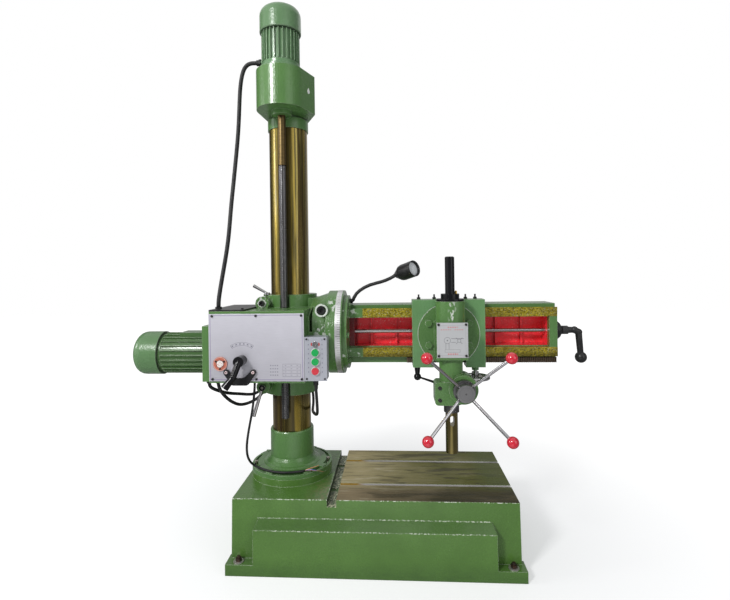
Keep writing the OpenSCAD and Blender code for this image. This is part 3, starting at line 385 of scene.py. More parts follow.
@dataclass(frozen=True)
class BaseCoat(Enamel):
    """The base's paint, with its machined table, T-slots and gutter."""

    name: str = "base_enamel"
    colour: Colour = (0.076, 0.166, 0.032)
    dark: Colour = (0.042, 0.102, 0.014)
    chips: float = 0.75
    tan: Colour = (0.47, 0.40, 0.205)
    olive: Colour = (0.105, 0.110, 0.006)
    top: float = 0.230
    front: float = 0.215
    panel_half: float = 0.378
    panel_reach: float = 0.038
    panel_edges: Pair = (0.147, 0.168)
    gutter: Pair = (-0.1506, -0.1203)
    gutter_floor: float = 0.206
    slots: Pair = (-0.0975, 0.1075)
    slot_half: float = 0.0122
    slot_deep: Pair = (0.2035, 0.2293)
    slot_neck: float = 0.2165
    slope: Pair = (0.12, 0.175)

    def _weather(self, tree: Tree) -> None:
        """Adds dirt, dried oil and bare specks to the paint.

        Args:
            tree: the material.
        """
        x, y, z = tree.place
        up = tree.facing[2]
        # dirt on the raised panel's slope, and a darker foot
        slope = up.within(0.2, 0.9, 0.1) * z.within(*self.slope, 0.01)
        stain = tree.noise(26.0, 5.0, (1, 2, 3))
        tree.over(slope * (stain * 0.5 + 0.2), (0.045, 0.075, 0.035))
        tree.over(z.below(0.035, 0.05) * stain * 0.6, (0.03, 0.06, 0.025))
        # dried oil beside the gutter
        spill = x.above(-0.20, 0.07) * x.below(self.gutter[0], 0.0006) * y.below(-0.07, 0.12)
        spill = spill * up.above(0.7, 0.1) * z.above(self.top - 0.0015, 0.0006)
        tree.over(spill * tree.noise(120.0, 4.0).above(0.5, 0.16) * 0.75, (0.17, 0.155, 0.075))
        # bare specks along the edges
        out = y + self.front
        panel = abs(x).below(self.panel_half, 0.004)
        low, high = self.panel_edges
        specks = tree.scuff(out, z - self.top, 0.0024)
        specks = specks.most(tree.scuff(out, z - high, 0.0022) * panel * 0.7)
        specks = specks.most(tree.scuff(out + self.panel_reach, z - low, 0.002) * panel * 0.8)
        specks = specks.most(tree.scuff(x - self.gutter[0] - 0.0001, z - self.top, 0.0018))
        tree.over(specks * 0.85, (0.66, 0.70, 0.60))

    def mark(self, tree: Tree, rough: Value) -> tuple[Number, Number, Number]:
        """Lays the table, the gutter and the slots over the weathered paint.

        Args:
            tree: the material, in the paint's colour.
            rough: the paint's roughness.

        Returns:
            The roughness, how bare of clear coat it is, and how metallic.
        """
        self._weather(tree)
        x, y, z = tree.place
        # the machined table: milled lines, oil stains and rust, and painted light that makes its left part
        # lighter
        table = x.above(self.gutter[1] - 0.0002, 0.0006) * z.above(self.top - 0.0008)
        table = table * tree.facing[2].above(0.7, 0.1)
        streak = tree.noise(45.0, 5.0, (0.16, 1, 1))
        lines = tree.noise(520.0, 2.0, (0.03, 1, 1))
        oil = tree.noise(7.0, 5.0, (0.7, 1.8, 1))
        # worn is wear and painted light together: the table is painted lighter to the left, where the lamp's
        # light falls, broken up by the oil
        worn = x.below(0.10, 0.30) * 0.8 + x.below(-0.03, 0.10) * 0.2 - (oil - 0.5) * 0.9
        worn = worn.most(0.0).least(1.0)
        front = y.below(-0.118, 0.06)
        tree.over(table, tree.stack(
            tree.blend(worn, self.olive, self.tan),
            (front * 0.8, tree.blend(worn, (0.040, 0.026, 0.010), (0.30, 0.225, 0.130))),
            (streak.above(0.56, 0.05) * (1.0 - worn * 0.6) * 0.75, (0.030, 0.026, 0.004)),
            (streak.below(0.38, 0.06) * worn * 0.5, (0.66, 0.61, 0.44)),
            (x.above(0.37, 0.05) * (0.7 - front * 0.7), (0.085, 0.115, 0.022)),
            (lines.above(0.55, 0.2) * 0.3, (0.05, 0.044, 0.016)),
        ))
        # the gutter with its left wall painted near-black as shade, and the slots with their bright upper
        # walls and their lower hollows painted near-black as shade
        gutter = x.within(*self.gutter, 0.0003) * z.above(self.gutter_floor)
        cream = tree.noise(150.0, 4.0).above(0.5, 0.06)
        tree.over(gutter, tree.stack(
            (0.05, 0.085, 0.035), (cream, (0.50, 0.50, 0.34)),
            # painted shade on the gutter's left wall
            (x.below(self.gutter[0] + 0.0008), (0.012, 0.022, 0.010)),
        ))
        first, second = (abs(y - slot).below(self.slot_half) for slot in self.slots)
        slots = (first + second).least(1.0) * x.above(self.gutter[1]) * z.within(*self.slot_deep)
        wall = tree.blend(x.below(-0.05, 0.03), (0.40, 0.38, 0.37), (0.34, 0.20, 0.035))
        # below the neck the slots are painted near-black as shade
        tree.over(slots, tree.blend(z.above(self.slot_neck, 0.003), (0.022, 0.02, 0.014), wall))
        bare = table.most(gutter)
        return rough * (1.0 - bare) + bare * (oil * 0.3 + 0.26), bare, table


@dataclass(frozen=True)
class ArmCoat(Enamel):
    """The arm's paint, with its red channel and greased ways."""

    name: str = "arm_enamel"
    red: Colour = (0.97, 0.046, 0.062)
    greased: float = -0.036
    middle: float = 0.751
    face: float = -0.0463
    way: Pair = (0.0528, 0.0856)
    channel_half: float = 0.0526
    channel_deep: Pair = (-0.0455, 0.0215)
    channel_long: Pair = (-0.086, 0.6065)
    ribs_from: float = -0.0135
    rib_pitch: float = 0.09

    def mark(self, tree: Tree, rough: Value) -> tuple[Number, Number, Number]:
        """Lays the red channel with its painted shade and painted highlight specks, the peeled strips and the
        grease over the paint.

        Args:
            tree: the material, in the paint's colour.
            rough: the paint's roughness.

        Returns:
            The roughness, how bare of clear coat it is, and how metallic.
        """
        x, y, z = tree.place
        height = abs(z - self.middle)
        inside = height.below(self.channel_half) * y.within(*self.channel_deep)
        inside = inside * x.within(*self.channel_long, 0.0006)
        rib = (x - self.ribs_from).wave(self.rib_pitch)
        seams = rib.within(0.0, 0.014, 0.006) + rib.within(0.086, 0.104, 0.006)
        shade = seams * 0.3 + y.below(-0.022, 0.01) * 0.05 + height.above(0.0495, 0.003) * 0.3
        tree.over(inside, tree.stack(
            self.red,
            (tree.noise(34.0, 5.0).above(0.5, 0.25) * 0.25, (0.60, 0.012, 0.020)),
            (shade.least(0.7), (0.16, 0.006, 0.008)),
            # pale specks painted in as highlights on the red gloss
            (tree.noise(210.0).above(0.64, 0.03) * 0.6, (0.85, 0.40, 0.40)),
            # painted shade at the channel's left end
            (x.below(-0.062, 0.012) * 0.9, (0.035, 0.004, 0.005)),
        ))
        face = height.within(*self.way, 0.0006) * y.below(self.face, 0.0006)
        peeled = tree.noise(70.0, 4.0, (0.5, 1, 1)).above(0.6, 0.05)
        tree.over(face * x.below(self.greased, 0.004) * peeled * 0.7, (0.72, 0.76, 0.68))
        ways = face * x.above(self.greased, 0.004)
        speckle = tree.noise(330.0, 3.0, (0.7, 1, 1))
        tree.over(ways, tree.stack(
            (0.13, 0.105, 0.006),
            (speckle.above(0.5, 0.22) * 0.8, (0.66, 0.54, 0.045)),
            (tree.noise(300.0).above(0.62, 0.06) * 0.7, (0.66, 0.68, 0.46)),
            (tree.noise(9.0).above(0.5, 0.2) * 0.4, (0.13, 0.11, 0.025)),
            (z.below(0.678, 0.008) * 0.55, (0.060, 0.052, 0.010)),
        ))
        return rough * (1.0 - ways) + ways * (speckle * 0.35 + 0.16), ways, ways * 0.7


@dataclass(frozen=True)
class GlandCoat(Enamel):
    """The paint of a case whose glands are black below a height."""

    glands: float = 0.0

    def mark(self, tree: Tree, rough: Value) -> tuple[Number, Number, Number]:
        """Lays the black of the glands over the paint.

        Args:
            tree: the material, in the paint's colour.
            rough: the paint's roughness.

        Returns:
            The roughness, how bare of clear coat it is, and how metallic.
        """
        gland = tree.place[2].below(self.glands, 0.0002)
        tree.over(gland, (0.014, 0.014, 0.014))
        return rough + gland * 0.15, gland, 0.0


@dataclass(frozen=True)
class MotorCoat(Enamel):
    """A motor's paint: a black joint ring, a black gland and the slots of its fan cover, painted black as the
    shade inside them.
    """

    colour: Colour = (0.092, 0.180, 0.076)
    upright: bool = True
    centre: Pair = (-0.311, -0.087)
    joint: Pair = (1.8, 1.802)
    cover_end: float = 1.89
    slot_pitch: float = 0.009
    slot_reach: Pair = (0.012, 0.040)
    spoke_half: float = 0.0022
    gland_left: float = -9.0

    def mark(self, tree: Tree, rough: Value) -> tuple[Number, Number, Number]:
        """Lays the ring, the gland and the slots over the paint.

        Args:
            tree: the material, in the paint's colour.
            rough: the paint's roughness.

        Returns:
            The roughness, how bare of clear coat it is, and how metallic.
        """
        x, y, z = tree.place
        along, first, second, sign = (z, x, y, 1.0) if self.upright else (x, y, z, -1.0)
        a, b = first - self.centre[0], second - self.centre[1]
        away = tree.distance(a, b)
        outer_end = (along * sign).above(self.cover_end * sign - 0.001)
        # the fan cover's slots are painted shade, standing in for openings
        slots = outer_end * away.wave(self.slot_pitch).below(0.45, 0.08)
        slots = slots * away.within(*self.slot_reach, 0.0006)
        slots = slots * abs(a).above(self.spoke_half) * abs(b).above(self.spoke_half)
        dark = (along.within(*self.joint, 0.0002) + slots + x.below(self.gland_left, 0.0002)).least(1.0)
        tree.over(dark, (0.01, 0.01, 0.01))
        return rough + dark * 0.3, dark, 0.0


@dataclass(frozen=True)
class SaddleCoat(Enamel):
    """The saddle's paint with the bright scribed circle round the head's disc."""

    name: str = "saddle_enamel"
    colour: Colour = (0.122, 0.262, 0.104)
    middle: Pair = (0.258, 0.751)
    circle: Pair = (0.1029, 0.1043)
    face: float = -0.1185

    def mark(self, tree: Tree, rough: Value) -> tuple[Number, Number, Number]:
        """Lays the circle over the paint.

        Args:
            tree: the material, in the paint's colour.
            rough: the paint's roughness.

        Returns:
            The roughness, how bare of clear coat it is, and how metallic.
        """
        ring = tree.round_mark(*self.middle).within(*self.circle)
        tree.over(ring * tree.place[1].below(self.face, 0.0003) * 0.9, (0.70, 0.72, 0.66))
        return rough, 0.0, 0.0


@dataclass(frozen=True)
class RingCoat(Enamel):
    """Lumpy cast paint with bright spot faces round bolt heads, and pale patches that are painted highlights
    of glare.
    """

    rings: tuple[tuple[float, float, float, float], ...] = ()
    patches: tuple[tuple[float, float, float, float], ...] = ()
    front: float = 9.0
    skin: float = 0.0015

    def mark(self, tree: Tree, rough: Value) -> tuple[Number, Number, Number]:
        """Lays the rings and patches over the paint.

        Args:
            tree: the material, in the paint's colour.
            rough: the paint's roughness.

        Returns:
            The roughness, how bare of clear coat it is, and how metallic.
        """
        x, y, z = tree.place
        bare: Number = 0.0
        for at_x, at_z, inner, outer in self.rings:
            ring = tree.round_mark(at_x, at_z).within(inner, outer) * tree.facing[1].below(-0.7, 0.1)
            ring = ring * (tree.noise(60.0).above(0.42, 0.1) * 0.8 + 0.2)
            bare = ring.most(bare)
        # the patches are painted highlights: pale glare on the lumpy paint
        for x0, x1, z0, z1 in self.patches:
            spot = x.within(x0, x1, 0.012) * z.within(z0, z1, 0.012) * y.below(self.front, 0.02)
            spot = spot * tree.noise(85.0, 4.0, (1.2, 1, 0.7)).above(0.55, 0.05)
            bare = (spot * 0.8).most(bare)
        # bare spot faces and painted highlights, in one pale colour
        tree.over(bare, (0.58, 0.60, 0.56))
        return rough, 0.0, 0.0


@dataclass(frozen=True)
class Metal:
    """Bare metal with fine tool marks and stains."""

    name: str
    colour: Colour
    stain: Colour
    rough: float = 0.28
    depth: float = 0.00004
    dirt: float = 0.35
    edge: float = 0.0004
    coat: float = 0.0

    def make(self) -> bpy.types.Material:
        """Makes the metal.

        Returns:
            The material.
        """
        tree = Tree(self.name, self.colour)
        marks, cloud = tree.noise(900.0, 2.0), tree.noise(22.0, 5.0)
        tree.over(cloud.above(0.5, 0.3) * self.dirt, self.stain)
        rough = self.rough + marks * 0.1 + cloud * 0.12 - 0.08
        return tree.surface(rough, tree.bump(marks, self.depth, self.edge), Metallic=1.0,
                            Coat_Weight=self.coat, Coat_Roughness=0.12)


@dataclass(frozen=True)
class ScrewSteel(Metal):
    """The lead screw's dark steel, with a brown oiled length above a dark joint."""

    joint: float = 1.341
    joint_half: float = 0.002

    def make(self) -> bpy.types.Material:
        """Makes the screw's finish.

        Returns:
            The material.
        """
        tree = Tree(self.name, self.colour)
        z = tree.place[2]
        cloud = tree.noise(60.0, 4.0, (1, 1, 0.2))
        rings = tree.noise(900.0, 2.0, (0.05, 0.05, 1.0))
        top = z.above(self.joint, 0.0006)
        tree.over(cloud.above(0.5, 0.3) * self.dirt, self.stain)
        tree.over(top, tree.blend(rings.above(0.5, 0.3) * 0.6, (0.15, 0.105, 0.045), (0.04, 0.03, 0.015)))
        tree.over(abs(z - self.joint).below(self.joint_half), (0.02, 0.015, 0.01))
        return tree.surface(cloud * 0.12 + self.rough + top * 0.16, tree.bump(rings, self.depth, self.edge),
                            Metallic=1.0, Coat_Weight=(1.0 - top) * self.coat, Coat_Roughness=0.12)


@dataclass(frozen=True)
class Anchor(Metal):
    """A rusty stud and nut over a pale washer."""

    washer: float = 0.0391
    edge: float = 0.0002

    def make(self) -> bpy.types.Material:
        """Makes the bolts' finish.

        Returns:
            The material.
        """
        tree = Tree(self.name, self.colour)
        rust = tree.noise(260.0, 4.0)
        tree.over(rust.above(0.5, 0.2), self.stain)
        washer = tree.blend(rust.above(0.56, 0.2) * 0.6, (0.50, 0.49, 0.47), (0.26, 0.22, 0.17))
        tree.over(tree.place[2].below(self.washer, 0.0003), washer)
        return tree.surface(rust * 0.2 + self.rough - 0.1, tree.bump(rust, 0.0002, self.edge), Metallic=0.8)


@dataclass(frozen=True)
class LeverSteel(Metal):
    """A plated clamp lever with a black hub face round its axis."""

    axis: Pair = (-0.387, 0.566)
    hub: float = 0.0105
    pin: float = 0.0045

    def make(self) -> bpy.types.Material:
        """Makes the lever's finish.

        Returns:
            The material.
        """
        tree = Tree(self.name, self.colour)
        away = tree.round_mark(*self.axis)
        cloud = tree.noise(40.0, 4.0)
        tree.over(cloud.above(0.5, 0.3) * self.dirt, self.stain)
        tree.over(away.below(self.hub, 0.0005), (0.02, 0.02, 0.02))
        tree.over(away.below(self.pin), (0.30, 0.28, 0.24))
        return tree.surface(cloud * 0.12 + self.rough, tree.bump(cloud, self.depth, self.edge), Metallic=1.0)


@dataclass(frozen=True)
class Column:
    """The ground steel column, dark under a film of yellow oil, with painted highlight bands at its sides,
    painted shade in the middle and a painted shade band under the sleeve.
    """

    name: str = "oiled_column"
    colour: Colour = (0.175, 0.132, 0.022)
    axis: float = -0.311
    # offsets from the axis: painted highlight outside bright's two, painted shade between shaded's two
    bright: Pair = (-0.030, 0.040)
    shaded: Pair = (-0.016, 0.022)
    shade_under_sleeve: Pair = (0.497, 0.54)

    def make(self) -> bpy.types.Material:
        """Makes the column's finish.

        Returns:
            The material.
        """
        tree = Tree(self.name, self.colour)
        runs = tree.noise(150.0, 4.0, (1, 1, 0.012))
        broad = tree.noise(48.0, 3.0, (1, 1, 0.03))
        blot = tree.noise(14.0, 4.0, (1, 1, 0.3))
        fine = tree.noise(700.0, 2.0, (0.4, 0.4, 1.0))
        across = tree.place[0] - self.axis
        tree.colour = tree.stack(
            self.colour,
            # painted highlights down both sides of the column
            (across.above(self.bright[1], 0.016) * 0.8, (0.50, 0.40, 0.12)),
            (across.below(self.bright[0], 0.016) * 0.4, (0.42, 0.32, 0.07)),
            (runs.above(0.5, 0.10) * 0.85, (0.040, 0.034, 0.008)),
            (broad.above(0.55, 0.08) * 0.6, (0.42, 0.30, 0.045)),
            (broad.below(0.42, 0.08) * 0.5, (0.10, 0.052, 0.022)),
            (blot.above(0.62, 0.1) * 0.3, (0.36, 0.30, 0.10)),
            # painted shade just under the sleeve
            (tree.place[2].within(*self.shade_under_sleeve, 0.03) * 0.6, (0.038, 0.030, 0.008)),
            (across.within(*self.shaded, 0.014) * 0.75, (0.045, 0.036, 0.010)),
        )
        return tree.surface(runs * 0.2 + fine * 0.05 + 0.16, tree.bump(fine, 0.00003), Metallic=0.9,
                            Coat_Weight=0.3, Coat_Roughness=0.1)


@dataclass(frozen=True)
class Plain:
    """Plastic, rubber or painted metal in one colour, with fine grain and dust."""

    name: str
    colour: Colour
    rough: float = 0.35
    coat: float = 0.0
    grain: float = 0.00006
    dust: float = 0.12
    edge: float = 0.0006
    shine: float = 0.5

    def make(self) -> bpy.types.Material:
        """Makes the surface.

        Returns:
            The material.
        """
        tree = Tree(self.name, self.colour)
        grain, cloud = tree.noise(700.0), tree.noise(30.0, 4.0)
        tree.over(cloud.above(0.55, 0.2) * self.dust, (0.42, 0.42, 0.38))
        rough = cloud * 0.12 + grain * 0.06 + (self.rough - 0.09)
        return tree.surface(rough, tree.bump(grain, self.grain, self.edge), Specular_IOR_Level=self.shine,
                            Coat_Weight=self.coat, Coat_Roughness=0.08)


@dataclass(frozen=True)
class Nipple(Plain):
    """Black gloss with a brass oil nipple on its front, between two heights."""

    axis: Pair = (0.278, -0.163)
    span: Pair = (0.8885, 0.901)
    radius: float = 0.0045

    def make(self) -> bpy.types.Material:
        """Makes the black and the brass.

        Returns:
            The material.
        """
        tree = Tree(self.name, self.colour)
        x, y, z = tree.place
        cloud = tree.noise(60.0, 4.0)
        away = tree.distance(x - self.axis[0], y - self.axis[1])
        brass = away.below(self.radius) * z.within(*self.span)
        tree.over(brass, (0.62, 0.42, 0.12))
        return tree.surface(cloud * 0.12 + self.rough, tree.bump(cloud, self.grain, self.edge),
                            Metallic=brass, Specular_IOR_Level=self.shine)


@dataclass(frozen=True)
class Quadrant(Plain):
    """The black plate behind the shift lever, with a pale screw in a ring at each horn."""

    middle: Pair = (-0.423, 0.647)
    half: float = 0.044
    ring: float = 0.0052
    screw: float = 0.0022

    def make(self) -> bpy.types.Material:
        """Makes the plate's finish.

        Returns:
            The material.
        """
        tree = Tree(self.name, self.colour)
        cloud = tree.noise(60.0, 4.0)
        for side in (-self.half, self.half):
            away = tree.round_mark(self.middle[0] + side, self.middle[1])
            tree.over(away.below(self.ring), tree.blend(cloud, (0.5, 0.36, 0.36), (0.75, 0.66, 0.66)))
            tree.over(away.below(self.screw), (0.12, 0.03, 0.04))
        return tree.surface(cloud * 0.12 + self.rough, tree.bump(cloud, self.grain, self.edge),
                            Specular_IOR_Level=self.shine)


@dataclass(frozen=True)
class FrontPlate(Metal):
    """The gearbox's aluminium panel with its border, ruled table and arc scale."""

    ink: Colour = (0.10, 0.09, 0.16)
    border: Colour = (0.28, 0.20, 0.42)
    face: float = -0.2338
    middle: Pair = (-0.370, 0.726)
    half: Pair = (0.1515, 0.1045)
    scale: Pair = (-0.4165, 0.674)
    table: Pair = (-0.255, 0.6525)
    table_half: Pair = (0.029, 0.0205)
    row: float = 0.0103
    cell: float = 0.019
    words: Pair = (-0.041, -0.012)
    letter: float = 0.0074
    arcs: Pair = (0.0585, 0.0685)
    line: float = 0.001
    figures: Pair = (0.0622, 0.066)

    def _ruled(self, tree: Tree) -> Value:
        """A ruled box at the lower right, with short strokes in and beside it.

        Args:
            tree: the material.

        Returns:
            The ink's mask.
        """
        x, _, z = tree.place
        (mid_x, mid_z), (half_x, half_z) = self.table, self.table_half
        foot = mid_z - half_z
        left = mid_x - half_x
        rows = z.within(foot, mid_z + half_z)
        row = (z - foot).wave(self.row)
        box = abs(x - mid_x).below(half_x) * rows
        cells = box * (x - left).wave(self.cell).within(0.35, 0.62, 0.04) * row.within(0.4, 0.62, 0.06)
        along = x - left
        words = along.within(*self.words) * (along - self.words[0]).wave(self.letter).below(0.55, 0.06)
        words = words * rows * row.within(0.32, 0.68, 0.06)
        rules = box * row.below(0.08, 0.03) + tree.outline(self.table, self.table_half, 0.0008)
        return rules + cells * 0.6 + words * 0.7

    def _fan(self, tree: Tree) -> Value:
        """The fan-shaped scale over the shift lever.

        Args:
            tree: the material.

        Returns:
            The ink's mask.
        """
        x, _, z = tree.place
        away = tree.round_mark(*self.scale)
        across = x - self.scale[0]
        side = z - self.scale[1] - abs(across) * 1.5
        inner, outer = self.arcs
        arc = away.within(inner, inner + self.line) + away.within(outer, outer + self.line)
        arc = arc + side.below(0.0016, 0.0006) * away.within(inner - self.line / 2, outer + self.line)
        arc = arc + away.within(*self.figures) * (across + 0.05).wave(0.0125).within(0.3, 0.72, 0.05)
        return arc * side.above(0.0, 0.0008)

    def make(self) -> bpy.types.Material:
        """Makes the printed panel.

        Returns:
            The material.
        """
        tree = Tree(self.name, self.colour)
        _, y, z = tree.place
        front = y.below(self.face, 0.0002)
        brushed = tree.noise(700.0, 2.0, (0.05, 1, 1))
        cloud = tree.noise(11.0, 4.0)
        # the stain colour is laid as brushing and clouds, and lower down as painted shade: the panel is
        # painted darker towards its bottom
        tree.over(brushed * 0.25 + cloud.above(0.5, 0.4) * 0.2 + z.below(0.75, 0.22) * 0.45, self.stain)
        tree.over(tree.outline(self.middle, self.half, 0.0018) * front * 0.8, self.border)
        ink = (self._ruled(tree) + self._fan(tree)).least(1.0)
        tree.over(ink * front * 0.75, self.ink)
        return tree.surface(self.rough + cloud * 0.12 - 0.06, tree.bump(brushed, self.depth, self.edge),
                            Metallic=0.55)


@dataclass(frozen=True)
class SwitchPlate(Metal):
    """The push-button plate with a light ring round each button."""

    buttons: tuple[float, ...] = (0.7095, 0.6805, 0.6505)
    dial: float = 0.7355
    middle: float = -0.178
    face: float = -0.2338
    grommet: float = 0.6178
    button_ring: Pair = (0.0115, 0.0142)
    dial_ring: Pair = (0.0105, 0.0145)
    ticks_across: Pair = (0.0205, 0.0235)
    ticks_high: Pair = (0.64, 0.752)
    tick_pitch: float = 0.0146

    def make(self) -> bpy.types.Material:
        """Makes the plate.

        Returns:
            The material.
        """
        tree = Tree(self.name, self.colour)
        x, y, z = tree.place
        cloud = tree.noise(14.0, 4.0)
        brushed = tree.noise(700.0, 2.0, (0.05, 1, 1))
        front = y.below(self.face, 0.0002)
        tree.over(cloud.above(0.5, 0.3) * 0.3, self.stain)
        for height in self.buttons:
            ring = tree.round_mark(self.middle, height).within(*self.button_ring)
            tree.over(ring * front, (0.86, 0.86, 0.84))
        ticks = abs(x - self.middle).within(*self.ticks_across) * z.within(*self.ticks_high)
        ticks = ticks * (z - 0.6405).wave(self.tick_pitch).within(0.3, 0.6, 0.08)
        tree.over(ticks * front * 0.6, (0.10, 0.09, 0.16))
        dial = tree.round_mark(self.middle, self.dial).within(*self.dial_ring)
        tree.over(dial * abs(z - self.dial).below(0.005) * front, (0.55, 0.06, 0.05))
        grommet = z.below(self.grommet, 0.0002)
        tree.over(grommet, SOOT)
        return tree.surface(self.rough + cloud * 0.1 - 0.05, tree.bump(brushed, self.depth, self.edge),
                            Metallic=(1.0 - grommet) * 0.5)


@dataclass(frozen=True)
class HeadPlate(Metal):
    """The head's plate with a plain line diagram."""

    middle: Pair = (0.258, 0.744)
    face: float = -0.2226
    screws: tuple[Pair, ...] = ((0.215, 0.695), (0.215, 0.794), (0.301, 0.695), (0.301, 0.794))

    def _diagram(self, tree: Tree) -> Value:
        """Two dials, a body and a foot, in an outline.

        Args:
            tree: the material.

        Returns:
            The ink's mask.
        """
        (mid_x, mid_z), (x, _, z) = self.middle, tree.place
        across, high = x - mid_x, z - mid_z
        left = tree.round_mark(mid_x - 0.016, mid_z)
        right = tree.round_mark(mid_x + 0.021, mid_z - 0.001)
        dials = left.within(0.0095, 0.0106) + left.below(0.0022) + right.within(0.0045, 0.0056)
        spokes = abs(abs(across - 0.021) - abs(high + 0.001)).below(0.0010) * right.within(0.0056, 0.014)
        bars = abs(high - 0.006).below(0.0007) * across.within(-0.004, 0.036)
        bars = bars + abs(high + 0.006).below(0.0007) * across.within(-0.004, 0.010)
        legs = abs(abs(across + 0.016) - 0.005).below(0.0006) * high.within(-0.028, -0.009)
        foot = tree.outline((mid_x, mid_z - 0.033), (0.024, 0.0045), 0.0007)
        frame = tree.outline(self.middle, (0.0425, 0.0475), 0.0006)
        return (dials + spokes + bars + legs + foot + frame * 0.6).least(1.0)

    def make(self) -> bpy.types.Material:
        """Makes the printed plate.

        Returns:
            The material.
        """
        tree = Tree(self.name, self.colour)
        x, y, z = tree.place
        across, high = x - self.middle[0], z - self.middle[1]
        front = y.below(self.face, 0.0002)
        cloud = tree.noise(16.0, 4.0)
        tree.over(cloud.above(0.5, 0.3) * 0.3, self.stain)
        tree.over(self._diagram(tree) * front * 0.75, (0.07, 0.07, 0.09))
        rows = abs(across).below(0.017) * (abs(high - 0.042).below(0.0016) + abs(high + 0.043).below(0.0022))
        rows = rows + abs(across).within(0.004, 0.036) * abs(high - 0.034).below(0.0012)
        strokes = (rows * across.wave(0.0072).below(0.6, 0.1)).least(1.0)
        tree.over(strokes * front * 0.7, (0.62, 0.05, 0.05))
        heads = z.below(0.66, 0.001)
        for screw in self.screws:
            heads = heads.most(tree.round_mark(*screw).below(0.0042))
        tree.over(heads, SOOT)
        return tree.surface(self.rough + cloud * 0.1 - 0.05, tree.bump(cloud, self.depth, self.edge),
                            Metallic=(1.0 - heads) * 0.4)


@dataclass(frozen=True)
class Handle(Metal):
    """The feed handle: brushed hub, chrome rods and red balls, told apart by their distance from its axis."""

    axis: Pair = (0.292, 0.586)
    hub: float = 0.0355
    balls: Pair = (0.1556, -0.3195)
    hub_back: float = -0.2395
    grooves: tuple[Pair, ...] = ((0.0296, 0.0306), (0.0195, 0.0201))
    dimple: float = 0.003

    def make(self) -> bpy.types.Material:
        """Makes the handle's finish.

        Returns:
            The material.
        """
        tree = Tree(self.name, self.colour)
        y = tree.place[1]
        away = tree.round_mark(*self.axis)
        ball = away.above(self.balls[0]) * y.below(self.balls[1])
        hub = away.below(self.hub, 0.0005)
        turned = away.wave(0.0011)
        tree.over(hub * (turned * 0.3 + 0.45), self.stain)
        tree.over(hub * y.above(self.hub_back) * 0.6, (0.12, 0.12, 0.12))
        tree.over(ball, (0.52, 0.010, 0.028))
        groove = away.below(self.dimple)
        for inner, outer in self.grooves:
            groove = groove + away.within(inner, outer, 0.0003)
        tree.over((groove * hub).least(1.0) * 0.6, (0.06, 0.06, 0.06))
        rough = hub * 0.17 + (self.rough - 0.06) + tree.noise(40.0) * 0.08
        return tree.surface(rough, tree.bump(turned * hub, 0.00002, self.edge), Metallic=1.0 - ball,
                            Coat_Weight=ball * 0.6, Coat_Roughness=0.06)


@dataclass(frozen=True)
class Sight(Plain):
    """The oil sight: a reddish ring with a white centre and three screws."""

    axis: Pair = (-0.488, 0.674)
    screws_at: float = 0.016
    screw: float = 0.0031
    window: float = 0.0112
    bezel: float = 0.0128
    lip: Pair = (0.0205, 0.0215)

    def make(self) -> bpy.types.Material:
        """Makes the sight's finish.

        Returns:
            The material.
        """
        tree = Tree(self.name, self.colour)
        away = tree.round_mark(*self.axis)
        cloud = tree.noise(60.0)
        mottle = tree.noise(300.0).above(0.55, 0.1)
        tree.over(away.below(self.window), tree.blend(mottle * 0.7, (0.70, 0.66, 0.63), (0.40, 0.16, 0.11)))
        for turn in (math.radians(degrees) for degrees in (90, 210, 330)):
            x, z = self.screws_at * math.cos(turn), -self.screws_at * math.sin(turn)
            screw = tree.round_mark(self.axis[0] + x, self.axis[1] + z).below(self.screw)
            tree.over(screw, (0.02, 0.014, 0.013))
        tree.over(away.within(self.window, self.bezel), (0.10, 0.02, 0.02))
        tree.over(away.within(*self.lip) * 0.8, (0.72, 0.60, 0.55))
        return tree.surface(cloud * 0.1 + self.rough - 0.05, tree.bump(cloud, self.grain, self.edge),
                            Coat_Weight=self.coat, Coat_Roughness=0.08)


@dataclass(frozen=True)
class Band(Metal):
    """The graduated band: a tick each 3 degrees round the joint, longer each 15."""

    axis: Pair = (-0.024, 0.751)
    ticks_from: Pair = (-0.1165, -0.1215)

    def make(self) -> bpy.types.Material:
        """Makes the band's finish.

        Returns:
            The material.
        """
        tree = Tree(self.name, self.colour)
        x, y, z = tree.place
        values = {0: y - self.axis[0], 1: z - self.axis[1]}
        turn = tree.node("ShaderNodeMath", {"operation": "ARCTAN2"}, values)
        angle = Value(tree, turn.outputs[0]) + math.pi
        fine = angle.wave(math.radians(3)).below(0.14, 0.04) * x.above(self.ticks_from[0], 0.0003)
        long = angle.wave(math.radians(15)).below(0.035, 0.01) * x.above(self.ticks_from[1], 0.0003)
        tree.over((fine + long).least(1.0) * 0.85, (0.05, 0.05, 0.05))
        cloud = tree.noise(40.0)
        return tree.surface(cloud * 0.15 + self.rough - 0.07, tree.bump(cloud, self.depth, self.edge),
                            Metallic=0.8)


